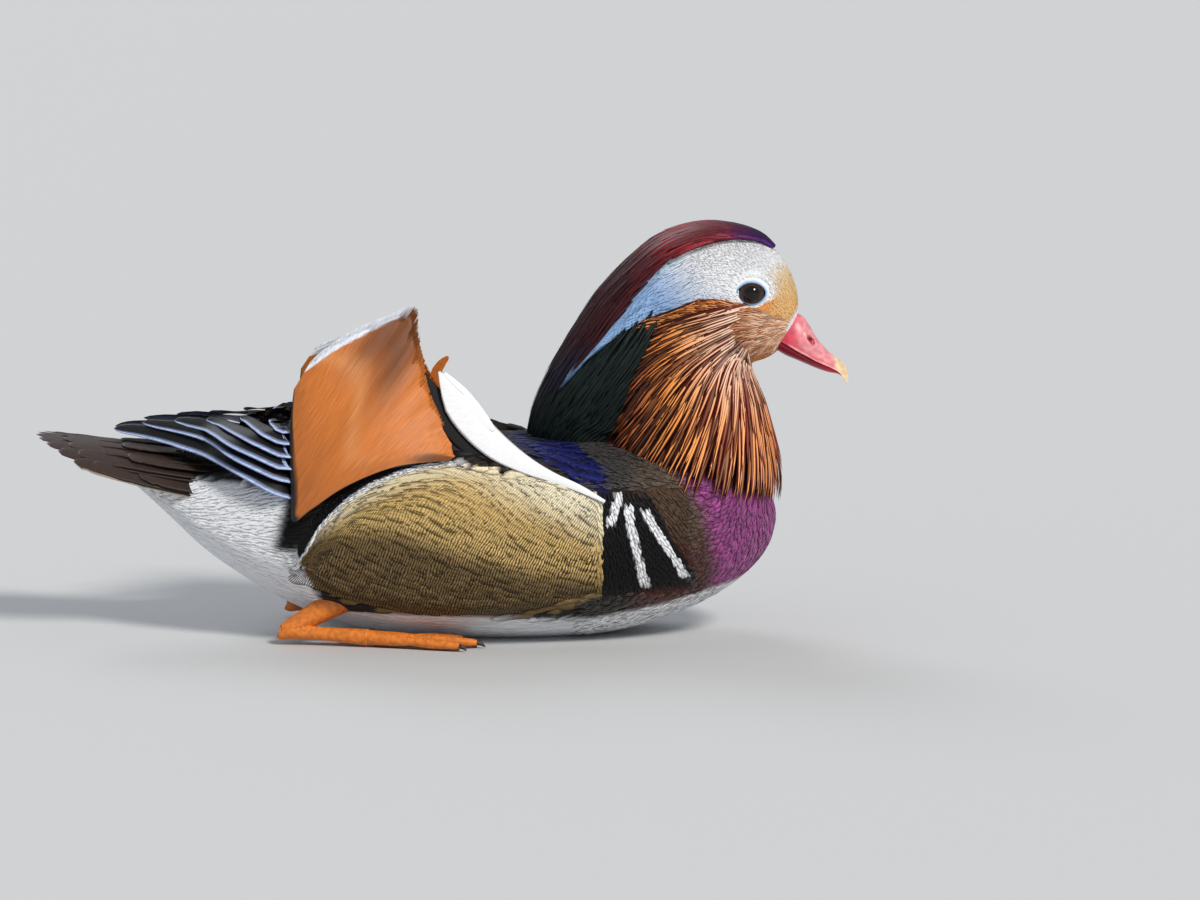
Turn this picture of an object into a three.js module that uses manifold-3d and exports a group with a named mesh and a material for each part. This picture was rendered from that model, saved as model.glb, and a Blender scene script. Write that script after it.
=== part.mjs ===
// A life-size drake mandarin duck that sits on its belly with its feet tucked under it.
// Units are millimetres. +X points to the bill, +Y to the bird's left, +Z up, and the floor is Z = 0.
// "Right" is the bird's own right side, at negative Y. Most pieces are lofts through rows of named sizes.
import * as THREE from "three";
import { mergeVertices } from "three/addons/utils/BufferGeometryUtils.js";
import Module from "manifold-3d";

const wasm = await Module();
wasm.setup();

const GAP = 0.35; // clearance kept between two pieces that touch
const RIGHT = -1;
const LEFT = 1;

// Torso from the under-tail coverts to the breast: x, top z, bottom z, half width, z of the widest point.
const TORSO = [
  [-147, 74, 72, 1.5, 73],
  [-143, 74.6, 69.5, 6, 72],
  [-133, 74, 62, 15, 68],
  [-120, 73.8, 50, 24, 62],
  [-105, 76, 36, 33, 56],
  [-88, 80, 24, 41, 52],
  [-68, 84, 12.5, 48.5, 50],
  [-44, 87, 3.2, 56, 48],
  [-15, 88, -1.8, 61.5, 47],
  [15, 88, -3.2, 63.5, 47],
  [45, 88, -3, 62, 47],
  [75, 87.5, 0, 57, 47],
  [100, 85, 7, 49, 48],
  [120, 79, 16, 39.5, 49],
  [135, 71.5, 27, 27.5, 50],
  [143.5, 64, 37.5, 16, 51],
  [147, 55, 48, 4, 51.5],
];
const TORSO_RINGS = 21;
const TORSO_SIDES = 20;
const SHOULDER_POWER = 2.35; // the back is flatter than an ellipse
const BELLY_POWER = 2;

// Neck stations, bottom to top: z, centre x, half length, half width. The ruff lies RUFF_DEPTH outside them.
const NECK = [
  [56, 105, 40, 42],
  [66, 106, 40.5, 40],
  [76, 106, 39.5, 33.5],
  [86, 106, 37, 30],
  [100, 106, 33, 26],
  [112, 105, 30.5, 23],
  [122, 106, 29.5, 21],
  [134, 112, 30, 19.5],
  [146, 118, 30, 18],
];
const NECK_RINGS = 8;
const NECK_SIDES = 16;
const RUFF_DEPTH = 2.4;

// Head stations, nape to bill: x, top z, bottom z, half width, z of the widest point.
const HEAD = [
  [84, 152, 148, 2, 150],
  [88, 164, 136, 11.5, 150],
  [97, 172.5, 124, 17, 147],
  [110, 177, 117.5, 20.5, 145],
  [124, 178, 117, 21.8, 144],
  [136, 175.6, 118.5, 20.4, 143.5],
  [144.5, 171.4, 121.5, 17.2, 143],
  [150.7, 164.6, 127.6, 12.6, 143],
  [155, 156, 134.5, 7.2, 143.5],
  [156.8, 149, 140, 2, 144],
];
const HEAD_RINGS = 15;
const HEAD_SIDES = 16;
const CROWN_POWER = 1.85;

// Planes that part head, neck and torso: a point, and the tilt about Y in degrees.
const HEAD_CUT = { x: 110, z: 124, tilt: 14 };
const NECK_CUT = { x: 100, z: 82, tilt: 10 };

// Bill: x, culmen z, z of the cutting edge, z of the underside, half width above and below that edge.
const BILL = [
  [144, 138, 131.5, 126.5, 7.4, 6.4],
  [150, 140.6, 128.2, 122.8, 8.5, 7.5],
  [155, 141.2, 125.2, 120.7, 8.8, 7.7],
  [159.4, 138, 122.8, 118.8, 8.3, 7.2],
  [164, 130.2, 120.3, 116.8, 7.6, 6.4],
  [169.2, 124.2, 118, 114.8, 6.9, 5.5],
  [173.6, 120.8, 116, 113.4, 5.9, 4.2],
  [176.6, 118, 112.6, 111, 4.2, 2],
  [177.6, 115, 110.6, 109.4, 2.2, 1],
];
const LOWER_BILL_END = 0.72; // share of the bill's length at which the lower mandible stops
const BILL_RINGS = 12;
const BILL_ARC = 10;
const NOSTRIL = { x: 161.3, y: 6.6, z: 129.7, long: 2, deep: 1.7, high: 1.1, tilt: -50 };

const EYE = { x: 135.1, z: 152, radius: 6.3, out: 14.6 };
const ORBIT = { long: 9, high: 7.6, deep: 3.4, out: 20.4 }; // the shallow hollow the eye sits in
const LID = { long: 6.3, high: 5.3, thick: 1, out: 17.6 };

// Turns closed rings into a closed geometry; an end is closed on its own middle or on a given point.
function ringGeometry(rings, startPoint = null, endPoint = null) {
  const count = rings[0].length;
  const points = rings.flat();
  const start = startPoint || middle(rings[0]);
  const end = endPoint || middle(rings[rings.length - 1]);
  points.push(start, end);
  const startIndex = points.length - 2;
  const endIndex = points.length - 1;
  const lastRing = (rings.length - 1) * count;
  const faces = [];
  for (let i = 0; i < count; i++) {
    const next = (i + 1) % count;
    faces.push(startIndex, next, i);
    faces.push(endIndex, lastRing + i, lastRing + next);
    for (let ring = 0; ring < lastRing; ring += count) {
      faces.push(ring + i, ring + next, ring + count + next);
      faces.push(ring + i, ring + count + next, ring + count + i);
    }
  }
  return outwardGeometry(points, faces);
}

// A thin plate between two grids of points, split into triangles alike on both faces.
function plateGeometry(outer, inner) {
  const rows = outer.length;
  const columns = outer[0].length;
  const points = [...outer.flat(), ...inner.flat()];
  const shift = rows * columns;
  const faces = [];
  const quad = (a, b, c, d) => faces.push(a, b, c, a, c, d);
  for (let r = 0; r < rows - 1; r++) {
    for (let c = 0; c < columns - 1; c++) {
      const [a, f] = [r * columns + c, (r + 1) * columns + c];
      const [b, e] = [a + 1, f + 1];
      quad(a, b, e, f);
      faces.push(shift + a, shift + e, shift + b, shift + a, shift + f, shift + e);
    }
  }
  const rim = [];
  for (let c = 0; c < columns - 1; c++) rim.push(c);
  for (let r = 0; r < rows - 1; r++) rim.push(r * columns + columns - 1);
  for (let c = columns - 1; c > 0; c--) rim.push((rows - 1) * columns + c);
  for (let r = rows - 1; r > 0; r--) rim.push(r * columns);
  rim.forEach((a, i) => {
    const b = rim[(i + 1) % rim.length];
    quad(b, a, shift + a, shift + b);
  });
  return outwardGeometry(points, faces);
}

function middle(points) {
  const sum = new THREE.Vector3();
  points.forEach((p) => sum.add(p));
  return sum.divideScalar(points.length);
}

function outwardGeometry(points, faces) {
  let volume = 0;
  for (let i = 0; i < faces.length; i += 3) {
    const [a, b, c] = [points[faces[i]], points[faces[i + 1]], points[faces[i + 2]]];
    volume += a.dot(new THREE.Vector3().crossVectors(b, c));
  }
  if (volume < 0) faces.reverse();
  const geometry = new THREE.BufferGeometry().setFromPoints(points);
  geometry.setIndex(faces);
  return geometry;
}

// The same closed shape with its surface moved out by a distance.
function grown(geometry, distance) {
  const wide = geometry.clone();
  wide.computeVertexNormals();
  const position = wide.attributes.position;
  const normal = wide.attributes.normal;
  for (let i = 0; i < position.count; i++) {
    position.setXYZ(
      i,
      position.getX(i) + normal.getX(i) * distance,
      position.getY(i) + normal.getY(i) * distance,
      position.getZ(i) + normal.getZ(i) * distance,
    );
  }
  wide.deleteAttribute("normal");
  return wide;
}

function solidFrom(geometry) {
  const bare = geometry.clone();
  bare.deleteAttribute("normal");
  bare.deleteAttribute("uv");
  const merged = mergeVertices(bare, 1e-3);
  return new wasm.Manifold(
    new wasm.Mesh({
      numProp: 3,
      vertProperties: merged.attributes.position.array,
      triVerts: new Uint32Array(merged.index.array),
    }),
  );
}

function joined(geometries) {
  return geometries.map(solidFrom).reduce((whole, piece) => whole.add(piece));
}

// The largest closed surface of a solid.
function largest(solid) {
  return solid.decompose().reduce((best, piece) => (piece.volume() > best.volume() ? piece : best));
}

function meshFrom(name, solid, material) {
  const { vertProperties, triVerts } = largest(solid).getMesh();
  const geometry = new THREE.BufferGeometry();
  geometry.setAttribute("position", new THREE.BufferAttribute(vertProperties, 3));
  geometry.setIndex(new THREE.BufferAttribute(triVerts, 1));
  geometry.computeVertexNormals();
  const mesh = new THREE.Mesh(geometry, material);
  mesh.name = name;
  return mesh;
}

function material(color, roughness = 0.7) {
  return new THREE.MeshStandardMaterial({ color, roughness, metalness: 0 });
}

// A row of a table of sizes at a share of its length, on a smooth curve through the rows.
function rowAt(table, share) {
  const last = table.length - 1;
  const place = THREE.MathUtils.clamp(share, 0, 1) * last;
  const index = Math.min(Math.floor(place), last - 1);
  const f = place - index;
  const [a, b, c, d] = [-1, 0, 1, 2].map((k) => table[THREE.MathUtils.clamp(index + k, 0, last)]);
  return b.map(
    (value, n) =>
      0.5 *
      (2 * value +
        (c[n] - a[n]) * f +
        (2 * a[n] - 5 * value + 4 * c[n] - d[n]) * f * f +
        (3 * value - a[n] - 3 * c[n] + d[n]) * f * f * f),
  );
}

// The share at which a table's first column, which rises or falls all the way, has a value.
function shareOf(table, value) {
  const rising = table[table.length - 1][0] > table[0][0];
  let [low, high] = [0, 1];
  for (let i = 0; i < 30; i++) {
    const half = (low + high) / 2;
    if (rowAt(table, half)[0] < value === rising) low = half;
    else high = half;
  }
  return (low + high) / 2;
}

const radians = THREE.MathUtils.degToRad;
const lerp = THREE.MathUtils.lerp;

function powered(value, power) {
  return Math.sign(value) * Math.abs(value) ** (2 / power);
}

// A point of an upright section: angle 0 is the left side, 90 the top, 180 the right side.
function sectionPoint([x, top, bottom, half, widest], angle, topPower, bottomPower) {
  const [c, s] = [Math.cos(angle), Math.sin(angle)];
  const power = s >= 0 ? topPower : bottomPower;
  const height = s >= 0 ? top - widest : widest - bottom;
  return new THREE.Vector3(x, half * powered(c, power), widest + height * powered(s, power));
}

function sectionLoft(table, rings, sides, topPower, bottomPower) {
  const made = [];
  for (let r = 0; r < rings; r++) {
    const row = rowAt(table, r / (rings - 1));
    made.push(
      Array.from({ length: sides }, (_, i) =>
        sectionPoint(row, (2 * Math.PI * i) / sides, topPower, bottomPower),
      ),
    );
  }
  return ringGeometry(made);
}

// A point on the torso, lifted off it: x, and the angle up from the widest line of that side, in degrees.
function torsoPoint(x, degrees, side, lift = 0) {
  const at = (xx, dd) =>
    sectionPoint(rowAt(TORSO, shareOf(TORSO, xx)), radians(90 - side * (90 - dd)), SHOULDER_POWER, BELLY_POWER);
  const point = at(x, degrees);
  const along = at(x + 1, degrees).sub(at(x - 1, degrees));
  const round = at(x, degrees + 1).sub(at(x, degrees - 1));
  const normal = along.cross(round).normalize();
  if (normal.y * side < 0 && degrees < 60) normal.negate();
  if (normal.z < 0 && degrees >= 60) normal.negate();
  return point.addScaledVector(normal, lift);
}

function neckLoft(grow = 0) {
  const rings = [];
  for (let r = 0; r < NECK_RINGS; r++) {
    const [z, x, long, half] = rowAt(NECK, r / (NECK_RINGS - 1));
    rings.push(
      Array.from({ length: NECK_SIDES }, (_, i) => {
        const angle = (2 * Math.PI * i) / NECK_SIDES;
        return new THREE.Vector3(x + (long + grow) * Math.cos(angle), (half + grow) * Math.sin(angle), z);
      }),
    );
  }
  return ringGeometry(rings);
}

// A big block whose top face is the given plane.
function below({ x, z, tilt }, shift = 0) {
  const size = 600;
  const block = new THREE.BoxGeometry(size, size, size);
  block.translate(0, 0, shift - size / 2);
  block.rotateY(radians(tilt));
  block.translate(x, 0, z);
  return solidFrom(block);
}

const floorBlock = below({ x: 0, z: 0, tilt: 0 });

// Flesh: one body, parted by thin cuts into torso, neck and head.
const torsoForm = sectionLoft(TORSO, TORSO_RINGS, TORSO_SIDES, SHOULDER_POWER, BELLY_POWER);
const neckForm = neckLoft();
const headForm = sectionLoft(HEAD, HEAD_RINGS, HEAD_SIDES, CROWN_POWER, 2);
const flesh = joined([torsoForm, neckForm, headForm]);
const fleshGrown = joined([grown(torsoForm, GAP), grown(neckForm, GAP), grown(headForm, GAP)]);
const torsoGrown = solidFrom(grown(torsoForm, GAP));
const belowHead = below(HEAD_CUT, -GAP / 2);
const clearOfHead = below(HEAD_CUT, GAP / 2);
const belowNeck = below(NECK_CUT, -GAP / 2);
const clearOfNeck = below(NECK_CUT, GAP / 2);

const torsoSolid = flesh.intersect(belowNeck).subtract(floorBlock);
const neckSolid = flesh.intersect(belowHead).subtract(clearOfNeck);
const headCore = flesh.subtract(clearOfHead);

// A flat, tapered lock along a path: three-sided, with its keel outwards.
function lockGeometry(points, outwards, width, thick) {
  const rings = [];
  const last = points.length - 1;
  for (let i = 0; i < last; i++) {
    const share = i / last;
    const forward = points[i + 1].clone().sub(points[Math.max(i - 1, 0)]).normalize();
    const out = outwards[i].clone().addScaledVector(forward, -outwards[i].dot(forward)).normalize();
    const across = new THREE.Vector3().crossVectors(forward, out);
    const swell = Math.min(1, 0.5 + 1.6 * share) * (1 - share ** 3.2);
    const half = (width / 2) * Math.max(swell, 0.12);
    const high = thick * Math.max(1 - share ** 3, 0.3);
    rings.push([
      points[i].clone().addScaledVector(across, half).addScaledVector(out, -high * 0.4),
      points[i].clone().addScaledVector(out, high * 0.6),
      points[i].clone().addScaledVector(across, -half).addScaledVector(out, -high * 0.4),
    ]);
  }
  return ringGeometry(rings, null, points[last]);
}

// Seeded random numbers from 0 to 1.
function randomFrom(seed) {
  let state = seed;
  return () => {
    state = (state * 1664525 + 1013904223) % 4294967296;
    return state / 4294967296;
  };
}

// A feather vane: a raised shaft along a path, webs to its two sides and a rounded tip.
function vaneGeometry({ path, up, widths, thick = 0.9, steps = 6, rootShare = 0.5, tipPower = 4 }) {
  const curve = new THREE.CatmullRomCurve3(path);
  const rings = [];
  for (let i = 0; i <= steps; i++) {
    const share = i / steps;
    const t = Math.min(share, 0.985);
    const point = curve.getPointAt(t);
    const forward = curve.getTangentAt(t);
    const upward = up.isVector3 ? up : up(share);
    const across = new THREE.Vector3().crossVectors(forward, upward).normalize();
    const normal = new THREE.Vector3().crossVectors(across, forward).normalize();
    const swell = Math.min(1, rootShare + 2 * share) * (1 - t ** tipPower) ** 0.5;
    const edge = (width, high) =>
      point.clone().addScaledVector(across, width * Math.max(swell, 0.08)).addScaledVector(normal, high);
    rings.push([edge(-widths[0], -0.1), edge(0, thick / 2), edge(widths[1], -0.1), edge(0, -thick / 2)]);
  }
  return ringGeometry(rings);
}

// Ruff: rows of hackles that fan out from the cheek over the neck. Angle 0 is the throat, 90 the side.
const RUFF_TIERS = [
  {
    count: 11,
    width: 14,
    thick: 1.7,
    lift: 0,
    roots: [[8, 124], [30, 129], [45, 135], [55, 141], [62, 147]],
    tips: [[5, 59], [35, 61], [62, 64], [90, 69], [116, 76], [134, 88], [140, 107], [144, 131]],
  },
  {
    count: 6,
    width: 13,
    thick: 1.7,
    lift: 1.6,
    roots: [[12, 127], [32, 132], [46, 138], [55, 144], [62, 149]],
    tips: [[9, 84], [42, 84], [80, 88], [112, 99], [130, 116], [138, 137]],
  },
];
const RUFF_STEPS = 4;

// Half width of the head at a place in side view, or nothing outside it.
function headHalf(x, z) {
  if (x < HEAD[0][0] || x > HEAD[HEAD.length - 1][0]) return 0;
  const [, top, bottom, half, widest] = rowAt(HEAD, shareOf(HEAD, x));
  const [reach, power] = z > widest ? [top - widest, CROWN_POWER] : [widest - bottom, 2];
  const share = Math.abs(z - widest) / reach;
  return share >= 1 ? 0 : half * (1 - share ** power) ** (1 / power);
}

// A point of the ruff's surface on one side, at a given depth outside the neck and the cheek.
function ruffPoint(z, degrees, side, depth) {
  const [, x, long, half] = rowAt(NECK, shareOf(NECK, z));
  const angle = radians(degrees);
  const place = x + (long + depth) * Math.cos(angle);
  const cheek = headHalf(place, z);
  const out = Math.max((half + depth) * Math.sin(angle), cheek > 0 ? cheek + depth : 0);
  return new THREE.Vector3(place, side * out, z);
}

function ruffLocks(side) {
  const random = randomFrom(11);
  const locks = [];
  for (const tier of RUFF_TIERS) {
    for (let i = 0; i < tier.count; i++) {
      const share = (i + 0.5) / tier.count;
      const root = rowAt(tier.roots, share);
      const tip = rowAt(tier.tips, share);
      const tipZ = tip[1] + (random() - 0.5) * 5;
      const points = [];
      const outwards = [];
      for (let s = 0; s <= RUFF_STEPS; s++) {
        const f = s / RUFF_STEPS;
        const z = lerp(root[1], tipZ, f ** 1.15);
        const degrees = lerp(root[0], tip[0], f ** 0.75);
        const depth = lerp(-2.5, RUFF_DEPTH + tier.lift, Math.min(1, f * 3));
        points.push(ruffPoint(z, degrees, side, depth));
        const [ahead, aside] = [Math.cos(radians(degrees)), Math.sin(radians(degrees)) + 0.15];
        outwards.push(new THREE.Vector3(ahead, side * aside, 0));
      }
      locks.push(lockGeometry(points, outwards, tier.width, tier.thick));
    }
  }
  return locks;
}

// Lids: a raised rim round each eye, on the side of the head.
function lidGeometry(side) {
  const rings = [];
  const steps = 12;
  for (let i = 0; i < steps; i++) {
    const angle = (2 * Math.PI * i) / steps;
    const radial = new THREE.Vector3(LID.long * Math.cos(angle), 0, LID.high * Math.sin(angle));
    const out = radial.clone().normalize();
    const centre = new THREE.Vector3(EYE.x, side * LID.out, EYE.z).add(radial);
    centre.y -= side * (Math.max(0, Math.cos(angle)) + 0.8 * Math.max(0, Math.sin(angle)));
    rings.push(
      [0, 1, 2, 3].map((k) => {
        const turn = (Math.PI * k) / 2 + Math.PI / 4;
        return centre
          .clone()
          .addScaledVector(out, LID.thick * Math.cos(turn))
          .add(new THREE.Vector3(0, side * 1.3 * LID.thick * Math.sin(turn), 0));
      }),
    );
  }
  return loopGeometry(rings);
}

// Rings that run round and meet their own start.
function loopGeometry(rings) {
  const count = rings[0].length;
  const points = rings.flat();
  const faces = [];
  rings.forEach((_, r) => {
    const here = r * count;
    const there = ((r + 1) % rings.length) * count;
    for (let i = 0; i < count; i++) {
      const next = (i + 1) % count;
      faces.push(here + i, here + next, there + next, here + i, there + next, there + i);
    }
  });
  return outwardGeometry(points, faces);
}

function eyeGeometry(side, grow = 0) {
  const ball = new THREE.IcosahedronGeometry(EYE.radius + grow, 2);
  ball.translate(EYE.x, side * EYE.out, EYE.z);
  return ball;
}

// A mandible: an arc over or under a flat face that runs along the bill's cutting edge.
function mandible(upper, grow = 0) {
  const end = upper ? 1 : LOWER_BILL_END;
  const rings = [];
  for (let r = 0; r < BILL_RINGS; r++) {
    const share = (end * r) / (BILL_RINGS - 1);
    const [x, culmen, edge, under, wide, narrow] = rowAt(BILL, share);
    const half = (upper ? wide : narrow * (1 - (share / end) ** 6) + 0.6) + grow;
    const flat = upper ? edge - grow : edge - GAP + grow;
    const high = upper ? culmen - flat + grow : (under - flat) * (1 - 0.7 * (share / end) ** 8) - grow;
    const arc = Array.from({ length: BILL_ARC + 1 }, (_, i) => {
      const angle = (Math.PI * i) / BILL_ARC;
      const power = upper ? 1.65 : 2.2;
      const across = half * powered(Math.cos(angle), 2.2);
      return new THREE.Vector3(x, across, flat + high * powered(Math.sin(angle), power));
    });
    rings.push([...arc, new THREE.Vector3(x, -half * 0.4, flat), new THREE.Vector3(x, half * 0.4, flat)]);
  }
  return ringGeometry(rings);
}

function nostrilGeometry(side) {
  const pit = new THREE.IcosahedronGeometry(1, 1);
  pit.scale(NOSTRIL.long, NOSTRIL.deep, NOSTRIL.high);
  pit.rotateY(radians(-NOSTRIL.tilt));
  pit.translate(NOSTRIL.x, side * NOSTRIL.y, NOSTRIL.z);
  return pit;
}

const billGrown = joined([mandible(true, GAP), mandible(false, GAP)]);

function orbitGeometry(side) {
  const hollow = new THREE.IcosahedronGeometry(1, 1);
  hollow.scale(ORBIT.long, ORBIT.deep, ORBIT.high);
  hollow.translate(EYE.x, side * ORBIT.out, EYE.z);
  return hollow;
}

function headSolid() {
  const rims = joined([lidGeometry(RIGHT), lidGeometry(LEFT)]);
  const ruff = joined([...ruffLocks(RIGHT), ...ruffLocks(LEFT)]);
  const bodyAround = fleshGrown.intersect(clearOfHead);
  let solid = headCore.subtract(joined([orbitGeometry(RIGHT), orbitGeometry(LEFT)]));
  solid = solid.add(rims).add(ruff.subtract(bodyAround));
  for (const side of [RIGHT, LEFT]) solid = solid.subtract(solidFrom(eyeGeometry(side, GAP)));
  return solid.subtract(billGrown);
}

// Crest: the outer line over the crown and down the nape: x, z, depth under it, half width there.
const CREST = [
  [146, 171.2, 1.5, 4],
  [138, 177.2, 3.5, 8],
  [126, 181, 6, 12],
  [111, 181.4, 9, 15],
  [94.4, 176, 13, 18],
  [80.7, 165, 17, 20],
  [68, 151.5, 20, 21.5],
  [58, 136.5, 22, 22],
  [49.5, 122.5, 23, 21.5],
  [43, 109.5, 23.5, 20.5],
  [39, 99, 23, 19],
  [36.8, 88, 21, 17],
];
const CREST_CORE = 0.5; // how far the core reaches towards the outer line
const CREST_ROWS = [
  { angles: [0, -36, 36, -70, 70], from: 0.05, to: 0.74, depth: 0.97, width: 14, thick: 2.4 },
  { angles: [-19, 19, -55, 55, -92, 92], from: 0.32, to: 0.96, depth: 0.92, width: 14, thick: 2.6 },
  { angles: [0, -38, 38, -80, 80], from: 0.52, to: 1, depth: 1, width: 13, thick: 2.4 },
  { angles: [-118, 118, 180], from: 0.6, to: 1, depth: 0.9, width: 17, thick: 3 },
];
const CREST_STEPS = 5;

// A point of the crest's surface: share of its length, angle from the outer line, share of its depth.
function crestPoint(share, degrees, reach) {
  const [x, z, depth, half] = rowAt(CREST, share);
  const ahead = rowAt(CREST, Math.min(share + 0.01, 1));
  const behind = rowAt(CREST, Math.max(share - 0.01, 0));
  const forward = new THREE.Vector3(ahead[0] - behind[0], 0, ahead[1] - behind[1]).normalize();
  const outward = new THREE.Vector3(forward.z, 0, -forward.x);
  const centre = new THREE.Vector3(x, 0, z).addScaledVector(outward, -depth);
  const angle = radians(degrees);
  return centre
    .addScaledVector(outward, depth * reach * Math.cos(angle))
    .add(new THREE.Vector3(0, half * reach * Math.sin(angle), 0));
}

function crestCore() {
  const rings = [];
  const count = 9;
  const sides = 12;
  for (let r = 0; r < count; r++) {
    const share = lerp(0.06, 0.88, r / (count - 1));
    rings.push(
      Array.from({ length: sides }, (_, i) =>
        crestPoint(share, (360 * i) / sides, CREST_CORE + 0.12 * (share < 0.4)),
      ),
    );
  }
  return ringGeometry(rings);
}

function crestLocks() {
  const random = randomFrom(5);
  return CREST_ROWS.flatMap((row) =>
    row.angles.map((degrees) => {
      const shift = (random() - 0.5) * 0.05;
      const points = [];
      const outwards = [];
      for (let s = 0; s <= CREST_STEPS; s++) {
        const f = s / CREST_STEPS;
        const share = lerp(row.from + shift / 2, Math.min(row.to - Math.abs(degrees) * 0.0012 + shift, 1), f);
        const reach = lerp(CREST_CORE * 0.6, row.depth, Math.min(1, f * 3));
        const turn = degrees * lerp(1, 0.86, f);
        points.push(crestPoint(share, turn, reach));
        outwards.push(crestPoint(share, turn, reach + 0.2).sub(crestPoint(share, turn, reach)));
      }
      return lockGeometry(points, outwards, row.width, row.thick);
    }),
  );
}

function crestSolid() {
  const locks = [...ruffLocks(RIGHT), ...ruffLocks(LEFT)];
  const ruffRoom = joined([...locks, ...locks.map((lock) => grown(lock, GAP))]);
  return joined([crestCore(), ...crestLocks()]).subtract(fleshGrown).subtract(ruffRoom);
}

// Flank: the large side feathers, a raised panel on the torso: x, lower angle, upper angle.
const FLANK = [
  [-62, -20, -6],
  [-54, -28, 12],
  [-40, -34, 28],
  [-20, -37, 41],
  [5, -38, 46],
  [30, -37, 42],
  [52, -33, 35],
  [68, -24, 24],
];
const FLANK_THICK = 2.6;
const FLANK_ROWS = 10;
const FLANK_COLUMNS = 6;

// A plate that lies on the torso between two angle lines: thick in its middle, thin at its rim.
function torsoPlate(table, side, thick, rows, columns, { grow = 0, rim = 0.7, sink = 1 } = {}) {
  const outer = [];
  const inner = [];
  for (let r = 0; r < rows; r++) {
    const share = r / (rows - 1);
    const [x, low, high] = rowAt(table, share);
    const spread = grow * 0.9; // degrees, which are about a millimetre each on the torso
    outer.push([]);
    inner.push([]);
    for (let c = 0; c < columns; c++) {
      const across = c / (columns - 1);
      const degrees = lerp(low - spread, high + spread, across);
      const xx = x + grow * (2 * share - 1);
      const bulge = (4 * across * (1 - across)) ** 0.45 * (4 * share * (1 - share)) ** 0.3;
      outer[r].push(torsoPoint(xx, degrees, side, rim + (thick - rim) * bulge + grow));
      inner[r].push(torsoPoint(xx, degrees, side, -sink));
    }
  }
  return plateGeometry(outer, inner);
}

function flankSolid(side) {
  return solidFrom(torsoPlate(FLANK, side, FLANK_THICK, FLANK_ROWS, FLANK_COLUMNS)).subtract(torsoGrown);
}

function flankGrown(side) {
  return solidFrom(torsoPlate(FLANK, side, FLANK_THICK, FLANK_ROWS, FLANK_COLUMNS, { grow: GAP }));
}

// Wing: the folded arm and its coverts as a leaning plate against the body's side.
// x, y and z of its middle, half height, half thickness, and the lean of its top towards the back in degrees.
const WING = [
  [66, 40, 72, 4, 2, 35],
  [52, 44, 74, 10, 4, 42],
  [30, 44, 77.5, 13, 5, 42],
  [0, 42, 81, 16, 6, 40],
  [-30, 40, 83, 18, 6.2, 35],
  [-55, 36.5, 83.5, 18, 5.5, 30],
  [-72, 33, 84, 15, 4, 27],
  [-84, 30, 85.5, 9.5, 2.6, 25],
  [-93, 27.5, 87, 2.5, 0.9, 25],
];
const WING_RINGS = 9;
const WING_SIDES = 12;

// A point of the wing plate: x, height from -1 (lower edge) to 1 (upper edge), lift off its outer face.
function wingPoint(x, height, side, lift = 0) {
  const [, y, z, high, thick, lean] = rowAt(WING, shareOf(WING, x));
  const [c, s] = [Math.cos(radians(lean)), Math.sin(radians(lean))];
  const out = thick * Math.sqrt(Math.max(0, 1 - height ** 2)) + lift;
  return new THREE.Vector3(x, side * (y - high * height * s + out * c), z + high * height * c + out * s);
}

function wingPlate(side, grow = 0) {
  const rings = [];
  for (let r = 0; r < WING_RINGS; r++) {
    const [x, y, z, high, thick, lean] = rowAt(WING, r / (WING_RINGS - 1));
    const [c, s] = [Math.cos(radians(lean)), Math.sin(radians(lean))];
    rings.push(
      Array.from({ length: WING_SIDES }, (_, i) => {
        const angle = (2 * Math.PI * i) / WING_SIDES;
        const up = (high + grow) * Math.sin(angle);
        const out = (thick + grow) * Math.cos(angle);
        return new THREE.Vector3(x, side * (y - up * s + out * c), z + up * c + out * s);
      }),
    );
  }
  return ringGeometry(rings);
}

// Coverts and inner flight feathers in tiers on the plate: where each starts and ends in x, and its height.
const COVERT_TIERS = [
  { count: 3, from: [8, -14], to: [-58, -86], heights: [-0.7, 0.6], width: 7.5, lift: 0.2, drop: 0.12 },
  { count: 4, from: [34, 20], to: [-12, -34], heights: [-0.55, 0.7], width: 6, lift: 1.2, drop: 0.08 },
];

function covertGeometries(side) {
  return COVERT_TIERS.flatMap(({ count, from, to, heights, width, lift, drop }) =>
    Array.from({ length: count }, (_, i) => {
      const rise = i / (count - 1);
      const height = lerp(heights[0], heights[1], rise);
      const start = lerp(from[0], from[1], rise);
      const end = lerp(to[0], to[1], rise);
      const at = (share, off) => wingPoint(lerp(start, end, share), height - drop * share, side, off);
      return vaneGeometry({
        path: [at(0, -1.6), at(0.35, lift), at(0.7, lift + 0.4), at(1, lift + 0.7)],
        up: new THREE.Vector3(0, side * 0.78, 0.62),
        widths: [width, width],
        thick: 1,
        steps: 5,
        tipPower: 4,
      });
    }),
  );
}

// Flight feathers of the folded wing, lowest first: tip x and z, and z of the shaft near the plate.
const PRIMARIES = [
  { tip: [-143.7, 89], root: 70 },
  { tip: [-131.3, 92], root: 76 },
  { tip: [-117.3, 94], root: 81.5 },
  { tip: [-102.7, 95.6], root: 86.5 },
  { tip: [-88.7, 97.4], root: 91 },
];
const PRIMARY_ROOT_X = -52;
const PRIMARY_WIDTH = 7.5;

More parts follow.
